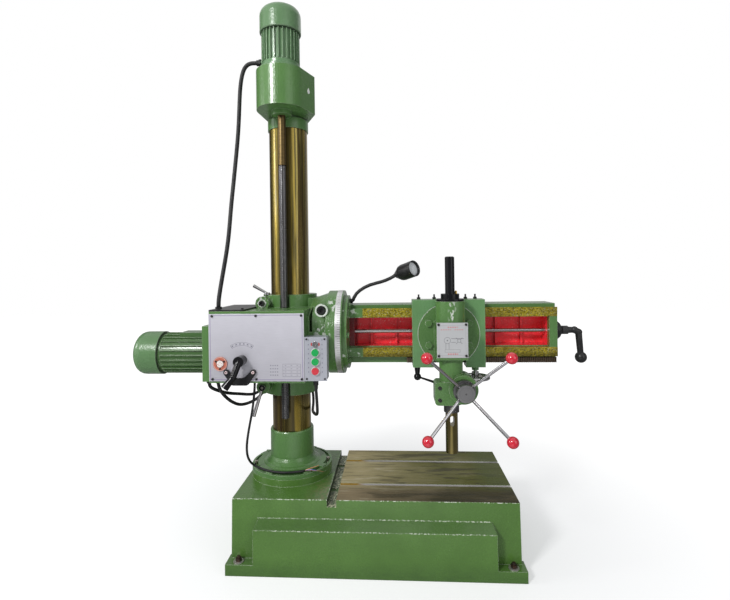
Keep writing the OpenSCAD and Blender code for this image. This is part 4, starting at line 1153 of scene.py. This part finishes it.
class Mesher:
    """Builds mesh pieces in the model's frame."""

    @staticmethod
    def piece(name: str, build: Callable[[bmesh.types.BMesh], None], material: bpy.types.Material,
              smooth: bool = True) -> bpy.types.Object:
        """Makes an object.

        Args:
            name: the piece's name.
            build: fills an empty mesh, in metres.
            material: its material.
            smooth: whether its faces are shaded smooth.

        Returns:
            The new object.
        """
        mesh = bpy.data.meshes.new(name)
        work = bmesh.new()
        build(work)
        bmesh.ops.recalc_face_normals(work, faces=work.faces)
        work.to_mesh(mesh)
        work.free()
        for face in mesh.polygons:
            face.use_smooth = smooth
        mesh.materials.append(material)
        made = bpy.data.objects.new(name, mesh)
        bpy.context.scene.collection.objects.link(made)
        return made

    @staticmethod
    def curve(points: Sequence[Vector], per: int) -> list[Vector]:
        """Smooths a route with a Catmull-Rom curve.

        Args:
            points: the route's points.
            per: how many steps each span gets.

        Returns:
            The finer points, first and last kept.
        """
        out: list[Vector] = []
        ends = [points[0] * 2 - points[1], *points, points[-1] * 2 - points[-2]]
        for a, b, c, d in zip(ends, ends[1:], ends[2:], ends[3:]):
            for i in range(per):
                t = i / per
                out.append(0.5 * (2 * b + (c - a) * t + (2 * a - 5 * b + 4 * c - d) * t * t
                                  + (3 * b - a - 3 * c + d) * t ** 3))
        return [*out, points[-1].copy()]

    @staticmethod
    def eased(path: Sequence[Vector], passes: int = 20) -> list[Vector]:
        """Evens out a path's bends and keeps its two points at each end.

        Args:
            path: the path's points.
            passes: how often each point moves towards its neighbours.

        Returns:
            The eased points.
        """
        for _ in range(passes):
            middle = [(a + 2 * b + c) / 4 for a, b, c in zip(path[1:-3], path[2:-2], path[3:-1])]
            path = [*path[:2], *middle, *path[-2:]]
        return list(path)

    @staticmethod
    def tube(work: bmesh.types.BMesh, path: Sequence[Vector], radius: Callable[[float], float],
             sides: int = 16) -> None:
        """Sweeps a round tube along a path, with closed ends.

        Args:
            work: the mesh to add to.
            path: the centre line.
            radius: the radius at a share of the path from 0 to 1.
            sides: how many sides the tube has.
        """
        last = len(path) - 1
        across = (path[1] - path[0]).normalized().orthogonal()
        rings: list[list[bmesh.types.BMVert]] = []
        for i, centre in enumerate(path):
            ahead = (path[min(i + 1, last)] - path[max(i - 1, 0)]).normalized()
            across = (across - ahead * across.dot(ahead)).normalized()
            other = ahead.cross(across)
            size = radius(i / last)
            turns = [2 * math.pi * k / sides for k in range(sides)]
            rings.append([work.verts.new(centre + size * (math.cos(t) * across + math.sin(t) * other))
                          for t in turns])
        Mesher.skin(work, rings)

    @staticmethod
    def skin(work: bmesh.types.BMesh, rings: Sequence[Sequence[bmesh.types.BMVert]],
             ends: bool = True) -> None:
        """Joins rings of points with faces.

        Args:
            work: the mesh that the points are in.
            rings: the rings in order. A ring of one point makes a tip.
            ends: whether the first and last ring are closed with a face.
        """
        sides = max(len(ring) for ring in rings)
        for low, high in zip(rings, rings[1:]):
            for k in range(sides):
                n = (k + 1) % sides
                corners = (low[k % len(low)], low[n % len(low)], high[n % len(high)], high[k % len(high)])
                work.faces.new(list(dict.fromkeys(corners)))
        if ends:
            work.faces.new(list(reversed(rings[0])))
            work.faces.new(rings[-1])


@dataclass(frozen=True)
class Lead:
    """One cord: its name, node, body, thickness and route."""

    name: str
    node: str
    body: str
    diameter: float
    route: tuple[tuple[float, float, float], ...]
    far_end: str = "object"
    stiffness: str = "medium"
    lay: str = "hanging"
    bend: tuple[str, ...] = ()
    bend_end: tuple[float, float, float] = (0.0, 0.0, 0.0)


CONDUIT = Lead("conduit", "lift_conduit", "column", 0.014, (
    (-86.3, -103, 1476), (-98, -103, 1477), (-112, -103, 1476), (-124, -103, 1469), (-134, -103, 1455),
    (-141, -103, 1430), (-146, -103, 1400), (-149, -103, 1360), (-151, -103, 1320), (-154, -105, 1243),
    (-161, -107, 1170), (-168, -110, 1101), (-171, -118, 1045), (-174, -130, 992), (-177, -140, 921),
    (-180, -150, 852), (-187, -160, 790), (-195, -170, 731), (-199, -180, 690), (-202, -188, 655),
    (-203, -190, 640), (-203, -190, 624.3)), stiffness="stiff", bend=("column", "sleeve"),
    bend_end=(-203, -190, 624.3))
MOTOR_CABLE = Lead("cable_to_motor", "motor_cable", "sleeve", 0.011, (
    (-228, -215, 373.7), (-228, -215, 364), (-225, -203, 354), (-219, -183, 343), (-210, -158, 331),
    (-198, -125, 317), (-186, -95, 308), (-177, -65, 300), (-168, -30, 289), (-160, 10, 278), (-152, 50, 271),
    (-142, 85, 276), (-133, 112, 294), (-128, 132, 325), (-126, 141, 360), (-126, 142, 389.7)))
CONTROL_CABLE = Lead("cable_to_gearbox", "control_cable", "sleeve", 0.011, (
    (-204, -200, 370.7), (-203, -198, 356), (-199, -190, 340), (-192, -178, 322), (-182, -156, 300),
    (-170, -125, 279), (-161, -92, 267), (-153, -50, 261), (-148, -10, 257), (-147, 35, 253), (-146, 70, 253),
    (-139, 98, 261), (-124, 120, 284), (-112, 134, 320), (-105, 141, 355), (-104, 142, 389.7)))
STATION_CABLE = Lead("cable_to_buttons", "station_cable", "sleeve", 0.010, (
    (129, -222, 368.7), (129, -222, 352), (130, -219, 335), (130, -213, 312), (129, -202, 290),
    (127, -186, 270), (122, -168, 256), (113, -145, 250), (102, -115, 247), (93, -80, 241),
    (86, -45, 234), (80, -10, 232), (76, 25, 237), (72, 55, 251), (64, 85, 276), (51, 112, 310),
    (38, 135, 345), (31, 148, 370), (30, 150, 389.7)))
SUPPLY_LEAD = Lead("supply_wire", "supply_lead", "column", 0.008, (
    (-92, -160, 372.7), (-92, -160, 356), (-94, -158, 335), (-97, -155, 312), (-101, -152, 286),
    (-106, -150, 258), (-111, -150, 232), (-117, -150, 204), (-122, -150, 175), (-127, -148, 145),
    (-130, -138, 114), (-131, -122, 90), (-129, -105, 70), (-124, -92, 56), (-115, -88, 48.5),
    (-104, -94, 46.8), (-88, -106, 46.8), (-66, -121, 46.8), (-38, -132, 46.8), (-12, -137, 46.8),
    (14, -137, 46.8), (38, -131, 46.8), (56, -125, 46.8), (68, -119, 46.8)), far_end="bare", lay="loose",
    bend=("sleeve", "column"), bend_end=(-115, -88, 48.5))


@dataclass
class Studio:
    """The camera, the floor, the lamps and the world."""

    lens: float = 23.55
    shift: float = -0.0388
    place: tuple[float, float, float] = (0.0803, -1.7458, 0.9654)
    yaw: float = 0.0631
    roll: float = -0.0139
    floor_half: float = 9.0
    floor_grey: float = 0.93
    glow: float = 1.12
    white_over_shadow: float = 0.4
    # each of these three is an edge in metres and the width that it fades over
    shadow_reach: Pair = (1.1, 1.2)
    strip_half: Pair = (0.45, 0.5)
    strip_front: Pair = (-0.5, 0.5)
    floor_in_gloss: Colour = (0.24, 0.24, 0.25)
    card_half_height: float = 2.15
    soft_light: tuple[float, ...] = (0.9, 0.95, 1.0, 1.0)

    def camera(self) -> None:
        """Makes the camera at the photograph's place."""
        data = bpy.data.cameras.new("view")
        data.lens, data.sensor_width, data.shift_y = self.lens, 36.0, self.shift
        data.clip_start, data.clip_end = 0.05, 60.0
        eye = bpy.data.objects.new("view", data)
        bpy.context.scene.collection.objects.link(eye)
        level = Vector((math.cos(self.yaw), math.sin(self.yaw), 0.0))
        ahead = Vector((-math.sin(self.yaw), math.cos(self.yaw), 0.0))
        high = Vector((0.0, 0.0, 1.0))
        right = level * math.cos(self.roll) + high * math.sin(self.roll)
        up = high * math.cos(self.roll) - level * math.sin(self.roll)
        turn = Matrix((right, up, -ahead)).transposed()
        eye.matrix_world = Matrix.Translation(self.place) @ turn.to_4x4()
        bpy.context.scene.camera = eye

    def _white_to_camera(self, tree: Tree, lit: bpy.types.NodeSocket) -> None:
        """Shows white far off and through glass, and in gloss grey with a white strip in front.

        The camera still sees the shadow near the object.

        Args:
            tree: the floor's material.
            lit: the shader that takes light and shadow.
        """
        path = tree.node("ShaderNodeLightPath")
        camera, gloss, through = (Value(tree, path.outputs[f"Is {kind} Ray"]) for kind in
                                  ("Camera", "Glossy", "Transmission"))
        x, y, _ = tree.place
        least = self.white_over_shadow
        away = tree.distance(x, y).above(*self.shadow_reach) * (1.0 - least) + least
        strip = abs(x).below(*self.strip_half) * y.below(*self.strip_front)
        seen = tree.blend(gloss * (1.0 - strip), (1.0, 1.0, 1.0), self.floor_in_gloss)
        glow = tree.node("ShaderNodeEmission", values={"Color": seen, "Strength": self.glow})
        tree.end(tree.node("ShaderNodeMixShader", values={
            0: (camera * away + gloss + through).least(1.0), 1: lit, 2: glow.outputs[0]}))

    def floor(self) -> None:
        """Makes the pale floor."""
        tree = Tree("pale_floor")
        lit = tree.node("ShaderNodeBsdfDiffuse", values={"Color": (self.floor_grey,) * 3})
        self._white_to_camera(tree, lit.outputs[0])

        def build(work: bmesh.types.BMesh) -> None:
            """Adds the floor's one face."""
            work.faces.new([work.verts.new((self.floor_half * a, self.floor_half * b, -0.0005))
                            for a, b in CORNERS])

        Mesher.piece("floor", build, tree.material, smooth=False)

    @staticmethod
    def lamp(name: str, place: Point, aim: Point, size: float, watts: float) -> None:
        """Adds a soft square lamp.

        Args:
            name: the lamp's name.
            place: where it is.
            aim: what it faces.
            size: its side.
            watts: its power.
        """
        data = bpy.data.lights.new(name, "AREA")
        data.shape, data.size, data.energy = "SQUARE", size, watts
        made = bpy.data.objects.new(name, data)
        made.location = place
        made.rotation_mode = "QUATERNION"
        made.rotation_quaternion = (Vector(aim) - Vector(place)).to_track_quat("-Z", "Y")
        bpy.context.scene.collection.objects.link(made)

    def card(self, name: str, middle: Point, reach: Point, grey: float) -> None:
        """Adds a dark card that only reflections show, as a studio uses for dark edges on bright metal.

        Args:
            name: the card's name.
            middle: its middle.
            reach: from its middle to its side edge.
            grey: how light it looks, from 0 to 1.
        """
        tree = Tree(name)
        tree.end(tree.node("ShaderNodeEmission", values={"Color": (grey, grey, grey), "Strength": 1.0}))

        def build(work: bmesh.types.BMesh) -> None:
            """Adds the card's one face."""
            centre, side, high = Vector(middle), Vector(reach), Vector((0.0, 0.0, self.card_half_height))
            work.faces.new([work.verts.new(centre + side * a + high * b) for a, b in CORNERS])

        made = Mesher.piece(name, build, tree.material, smooth=False)
        made.visible_camera = made.visible_diffuse = made.visible_shadow = made.visible_transmission = False

    def light(self) -> None:
        """Makes the lamps and the white world."""
        self.lamp("key", (-2.2, -3.5, 3.2), (0.0, 0.0, 0.8), 0.8, 160.0)
        self.lamp("side", (-3.2, -0.7, 1.9), (-0.2, 0.0, 1.0), 0.8, 24.0)
        self.lamp("fill", (2.8, -2.6, 1.8), (0.1, 0.0, 0.8), 2.6, 30.0)
        self.card("front_card", (0.75, -4.6, 2.2), (4.75, 0.0, 0.0), 0.22)
        self.card("left_card", (-3.6, 2.4, 2.2), (0.0, 2.0, 0.0), 0.06)
        self.card("back_card", (0.0, 5.2, 2.4), (5.0, 0.0, 0.0), 0.5)
        self.card("right_card", (3.6, 0.85, 2.2), (0.0, 3.35, 0.0), 0.2)
        world = bpy.data.worlds.new("studio")
        world.use_nodes = True
        graph = world.node_tree
        graph.nodes.clear()
        path = graph.nodes.new("ShaderNodeLightPath")
        soft, white, mix = (graph.nodes.new(k) for k in
                            ("ShaderNodeBackground", "ShaderNodeBackground", "ShaderNodeMixShader"))
        for ground, colour, strength in ((soft, self.soft_light, 0.42), (white, (1.0, 1.0, 1.0, 1.0), 1.0)):
            ground.inputs["Color"].default_value = colour
            ground.inputs["Strength"].default_value = strength
        out = graph.nodes.new("ShaderNodeOutputWorld")
        seen = path.outputs["Is Camera Ray"]
        for name in ("Is Glossy Ray", "Is Transmission Ray"):
            either = graph.nodes.new("ShaderNodeMath")
            either.operation = "MAXIMUM"
            graph.links.new(seen, either.inputs[0])
            graph.links.new(path.outputs[name], either.inputs[1])
            seen = either.outputs[0]
        graph.links.new(seen, mix.inputs[0])
        graph.links.new(soft.outputs[0], mix.inputs[1])
        graph.links.new(white.outputs[0], mix.inputs[2])
        graph.links.new(mix.outputs[0], out.inputs[0])
        bpy.context.scene.world = world
        bpy.context.scene.view_settings.view_transform = "Standard"

    def build(self) -> None:
        """Makes the whole studio, and shows colours as they are."""
        self.camera()
        self.floor()
        self.light()


@dataclass
class Cords:
    """The conduit, the cables and the supply wire with its bare cores."""

    material: bpy.types.Material
    leads: tuple[Lead, ...] = (CONDUIT, MOTOR_CABLE, CONTROL_CABLE, STATION_CABLE, SUPPLY_LEAD)
    steps: int = 5

    def build(self) -> None:
        """Makes each cord and hides the CAD node that it stands in for."""
        for lead in self.leads:
            path = Mesher.eased(Mesher.curve([at(*p) for p in lead.route], self.steps))
            made = Mesher.piece(lead.name, lambda work, p=path, d=lead.diameter: Mesher.tube(
                work, p, lambda share: d / 2), self.material)
            if lead.bend:
                tuple(at(*lead.bend_end))
                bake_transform(made)
            else:
                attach(made, lead.body)
            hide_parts(lead.node)
            length = sum((b - a).length for a, b in zip(path, path[1:]))
            on_it = BareCores().build() if lead is SUPPLY_LEAD else []
            LOG.info("%s %.3f m", lead.name, length)


@dataclass
class ThreadedScrew:
    """The lead screw with its trapezoid thread, plain near the top."""

    material: bpy.types.Material
    axis: float = -103.0
    radius: float = 14.0
    core: float = 11.6
    pitch: float = 6.0
    flank: float = 0.13
    runout: float = 0.6
    bottom: float = 225.0
    thread_top: float = 1111.0
    top: float = 1407.0
    sides: int = 24
    slices: int = 8

    def _radius(self, height: float, turn: float) -> float:
        """The surface's radius on a right-hand thread.

        Args:
            height: the place along the screw, in millimetres.
            turn: the place round it, from 0 to 1.

        Returns:
            The radius in millimetres.
        """
        if height > self.thread_top:
            return self.radius
        depth = self.radius - self.core
        share = ((height - self.bottom) / self.pitch - turn) % 1.0
        rise = min(share / self.flank, 1.0)
        fall = min(max((share - 0.5) / self.flank, 0.0), 1.0)
        return self.core + depth * (rise - fall)

    def build(self) -> None:
        """Makes the screw and puts it in the plain bar's place."""
        def shape(work: bmesh.types.BMesh) -> None:
            """Stacks the rings of the screw.

            Args:
                work: the mesh to add to.
            """
            step = self.pitch / self.slices
            count = round((self.thread_top - self.bottom) / step)
            heights = [self.bottom + i * step for i in range(count + 1)]
            heights += [self.thread_top + self.runout, self.top]
            rings = []
            for z in heights:
                ring = []
                for k in range(self.sides):
                    turn = k / self.sides
                    r = self._radius(z, turn)
                    ring.append(work.verts.new(at(r * math.cos(2 * math.pi * turn),
                                                  self.axis + r * math.sin(2 * math.pi * turn), z)))
                rings.append(ring)
            Mesher.skin(work, rings)

        made = Mesher.piece("threaded_screw", shape, self.material, smooth=False)
        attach(made, "lift_screw")
        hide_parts("lead_screw")


@dataclass
class BareCores:
    """The supply wire's bare cores, splayed on the swivel flange."""

    start: tuple[float, float, float] = (66.0, -120.0, 46.6)
    radius: float = 0.0011
    bare: float = 0.00077
    bare_from: float = 0.85
    steps: int = 6
    sides: int = 10

    def _radius(self, share: float) -> float:
        """The radius at a share of a core's length, less where it is bare."""
        return self.bare if share > self.bare_from else self.radius

    def build(self) -> list[bpy.types.Object]:
        """Makes the cores.

        Returns:
            The pieces, which lie on the supply wire.
        """
        cores = (
            ("core_pale", (0.78, 0.55, 0.52), ((78, -112, 47.5), (91, -104, 45.2))),
            ("core_blue", (0.03, 0.08, 0.42), ((88, -117, 49), (104, -119, 49), (115, -120, 47))),
            ("core_brown", (0.16, 0.06, 0.025), ((92, -124, 50), (118, -128, 50.5), (137, -128, 47.5))),
            ("core_copper", (0.72, 0.33, 0.14), ((80, -105, 48), (97, -86, 47), (110, -69, 45))))
        made = []
        for name, colour, route in cores:
            path = Mesher.curve([at(*self.start), *(at(*p) for p in route)], self.steps)
            sheath = Plain(name, colour, 0.35, dust=0.0, edge=0.0001).make()
            wire = Mesher.piece(
                name, lambda work, p=path: Mesher.tube(work, p, self._radius, self.sides), sheath)
            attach(wire, "column")
            made.append(wire)
        return made


@dataclass
class LampGlass:
    """The lamp's domed lens, set inside its rim."""

    tail: tuple[float, float, float] = (392.0, -12.0, 720.5)
    face: tuple[float, float, float] = (459.0, -75.0, 745.0)
    radius: float = 0.0252
    rim: float = 0.003
    rise: float = 0.004
    depth: float = 0.0125
    sides: int = 40

    def build(self) -> None:
        """Makes the lens."""
        ahead = (at(*self.face) - at(*self.tail)).normalized()
        across = ahead.orthogonal().normalized()
        other = ahead.cross(across)
        back = at(*self.face) - ahead * self.depth

        def shape(work: bmesh.types.BMesh) -> None:
            """Spins the lens's section, domed in front and flat behind.

            Args:
                work: the mesh to add to.
            """
            section = [(0.0, 0.0), (self.radius, 0.0), (self.radius, self.rim)]
            section += [(self.radius * math.cos(t), self.rim + self.rise * math.sin(t))
                        for t in map(math.radians, range(15, 90, 15))]
            section.append((0.0, self.rim + self.rise))
            rings = []
            for r, h in section:
                turns = [2 * math.pi * k / self.sides for k in range(self.sides if r else 1)]
                centre = back + ahead * h
                rings.append([work.verts.new(centre + r * (math.cos(t) * across + math.sin(t) * other))
                              for t in turns])
            Mesher.skin(work, rings, ends=False)

        glass = Plain("lamp_glass", (0.62, 0.63, 0.64), 0.12, 0.6, dust=0.0).make()
        made = Mesher.piece("lamp_lens", shape, glass)
        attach(made, "lamp")


@dataclass
class BlankPlate:
    """A blank pale plate on the flat flank of the lift housing."""

    middle: tuple[float, float, float] = (95.3, -96.3, 1372.0)
    turn: float = -21.77
    half_width: float = 8.0
    height: float = 13.0
    faces_at: Pair = (-0.2, 0.8)

    def build(self) -> None:
        """Makes the plate, round below and pointed above."""
        turn = math.radians(self.turn)
        out = Vector((math.cos(turn), math.sin(turn), 0.0))
        along = Vector((-out.y, out.x, 0.0))
        middle = at(*self.middle)
        rim = [(self.half_width * math.cos(t), self.half_width * math.sin(t))
               for t in map(math.radians, range(165, 376, 15))] + [(0.0, self.height)]

        def shape(work: bmesh.types.BMesh) -> None:
            """Adds the plate's two faces and its edge."""
            spots = [[along * u + Vector((0, 0, v)) + out * lift for u, v in rim] for lift in self.faces_at]
            Mesher.skin(work, [[work.verts.new(middle + spot / MM) for spot in layer] for layer in spots])

        white = Plain("plate_white", (0.80, 0.80, 0.76), 0.35, 0.2).make()
        made = Mesher.piece("blank_plate", shape, white, smooth=False)
        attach(made, "column")


class Dresser:
    """Gives every CAD node its finish."""

    def __init__(self) -> None:
        """Makes the finishes, the paints first and then the metals and plastics."""
        self.finish: dict[str, bpy.types.Material] = {}
        self.green = Enamel().make()
        self._paints()
        self._metals()
        self._plastics()
        self._prints()

    def _put(self, finish: Enamel | Metal | Plain | Column, *nodes: str) -> bpy.types.Material:
        """Makes a finish and keeps it for some nodes.

        Args:
            finish: what to make.
            nodes: the names of the CAD nodes that wear it.

        Returns:
            The material.
        """
        material = finish.make()
        self.finish.update(dict.fromkeys(nodes, material))
        return material

    def _paints(self) -> None:
        """Makes the paints that differ from the plain green."""
        self._put(BaseCoat(), "base_casting")
        self._put(ArmCoat(), "arm_beam")
        self._put(SaddleCoat(), "saddle")
        self._put(GlandCoat("case_enamel", glands=0.6108), "gearbox_case")
        self._put(GlandCoat("plate_enamel", glands=0.6138), "motor_plate")
        self._put(GlandCoat("cabinet_enamel", glands=0.6298), "electrical_cabinet")
        bosses = ((-0.387, 0.859, 0.0105, 0.0145), (-0.169, 0.837, 0.0162, 0.0215))
        # glare and head_glare place patches of painted highlight on the sleeve and on the head
        glare = ((-0.190, -0.140, 0.745, 0.80), (-0.150, -0.112, 0.83, 0.87), (-0.42, -0.36, 0.85, 0.885))
        self._put(RingCoat("sleeve_enamel", rings=bosses, patches=glare, front=-0.06), "arm_sleeve")
        head_glare = ((0.250, 0.268, 0.805, 0.866),)
        self._put(RingCoat("head_enamel", patches=head_glare, front=-0.19, skin=0.001), "head_casting")
        self._put(MotorCoat("lift_motor_enamel", (0.116, 0.226, 0.106), gland_left=-0.380), "lift_motor_body")
        self._put(MotorCoat("lift_cover_enamel", (0.106, 0.198, 0.094)), "lift_fan_cover")
        lying = MotorCoat("cover_enamel", upright=False, centre=(-0.0933, 0.688), joint=(-0.739, -0.737),
                          cover_end=-0.831)
        self._put(lying, "main_fan_cover")
        self._put(replace(lying, name="motor_enamel", colour=(0.056, 0.126, 0.036)), "main_motor_body")

    def _metals(self) -> None:
        """Makes the bare metals."""
        self._put(Metal("zinc_steel", (0.52, 0.51, 0.47), (0.20, 0.12, 0.06), 0.34, dirt=0.6),
                  "swivel_clamp_bolts")
        self._put(Metal("dark_iron", (0.16, 0.155, 0.15), (0.06, 0.05, 0.04), 0.4), "lift_rotor",
                  "motor_rotor", "gearbox_shaft", "shaft_bevel", "cross_shaft", "spindle_drive")
        self._put(Metal("turned_steel", (0.50, 0.49, 0.50), (0.30, 0.28, 0.25), 0.24, depth=0.00001),
                  "drive_shaft")
        self._put(Metal("chrome_plate", (0.54, 0.54, 0.55), (0.3, 0.3, 0.3), 0.14, depth=0.000004, dirt=0.4),
                  "upper_clamp_lever", "selector_switch", "traverse_handwheel")
        self._put(Metal("oiled_steel", (0.13, 0.13, 0.135), (0.05, 0.05, 0.045), 0.34), "quill")
        self._put(Metal("rack_steel", (0.20, 0.155, 0.115), (0.06, 0.045, 0.03), 0.4), "arm_rack")
        self._put(Metal("bronze", (0.55, 0.33, 0.12), (0.3, 0.18, 0.06)), "lift_nut")
        self._put(Metal("spindle_steel", (0.20, 0.16, 0.05), (0.07, 0.056, 0.018), 0.12, coat=0.4), "spindle")
        self._put(Anchor("anchor_steel", (0.055, 0.048, 0.043), (0.085, 0.045, 0.028), 0.45), "anchor_bolts")
        self._put(LeverSteel("lever_steel", (0.46, 0.45, 0.46), (0.22, 0.21, 0.21), 0.16, depth=0.00002),
                  "lower_clamp_lever")
        self._put(Handle("handle_steel", (0.46, 0.455, 0.47), (0.2, 0.2, 0.2), 0.2, edge=0.0),
                  "feed_handle")
        self._put(Column(), "column_tube")
        self.screw = self._put(ScrewSteel("screw_steel", (0.18, 0.178, 0.185), (0.05, 0.045, 0.04), 0.2,
                                          depth=0.000006, coat=0.7))

    def _plastics(self) -> None:
        """Makes the black and coloured plastics."""
        jet = (0.007, 0.007, 0.008)
        coal = (0.011, 0.011, 0.012)
        gloss = Plain("black_gloss", jet, 0.18, dust=0.0, grain=0.000004, shine=0.22)
        self._put(gloss, "shift_lever", "saddle_clamp_lever")
        self._put(Nipple("tube_black", jet, 0.12, grain=0.000004, shine=0.22), "spindle_tube")
        self._put(Plain("black_satin", coal, 0.36, dust=0.04, grain=0.00002, shine=0.35), "sleeve_bolts",
                  "gearbox_lid", "panel_screws", "shaft_end_cap", "lamp_head", "end_crank", "gib_screws")
        self.rubber = self._put(Plain("cable_sheath", coal, 0.5, dust=0.03, shine=0.25), "lamp_gooseneck")
        self._put(Quadrant("quadrant_black", coal, 0.3, shine=0.3), "shift_quadrant")
        self._put(Sight("sight_red", (0.42, 0.12, 0.075), 0.3, 0.2), "oil_sight")
        self._put(Plain("button_green", (0.006, 0.30, 0.065), 0.25, 0.2, dust=0.0), "upper_green_button",
                  "lower_green_button")
        self._put(Plain("button_red", (0.50, 0.03, 0.045), 0.25, 0.2, dust=0.0), "red_button")

    def _prints(self) -> None:
        """Makes the printed plates and the graduated band."""
        self._put(Band("graduated_steel", (0.66, 0.66, 0.66), (0.4, 0.4, 0.4), 0.3), "graduated_band")
        self._put(FrontPlate("panel_print", (0.80, 0.785, 0.855), (0.46, 0.45, 0.49), 0.34), "front_panel")
        self._put(SwitchPlate("switch_print", (0.46, 0.47, 0.52), (0.38, 0.39, 0.45), 0.36), "switch_box")
        self._put(HeadPlate("head_print", (0.52, 0.525, 0.535), (0.42, 0.42, 0.42), 0.38), "head_plate")

    def dress(self) -> None:
        """Puts the finishes on the CAD nodes."""
        for name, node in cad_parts.items():
            material = self.finish.get(name, self.green)
            if not node.material_slots:
                node.data.materials.append(material)
            for place in node.material_slots:
                place.material = material
            LOG.info("%s: %s", name, material.name)


def main() -> None:
    """Builds the scene in order."""
    logging.basicConfig(level=logging.INFO)
    Studio().build()
    dresser = Dresser()
    Cords(dresser.rubber).build()
    ThreadedScrew(dresser.screw).build()
    LampGlass().build()
    BlankPlate().build()
    dresser.dress()


if __name__ == "__main__":
    main()
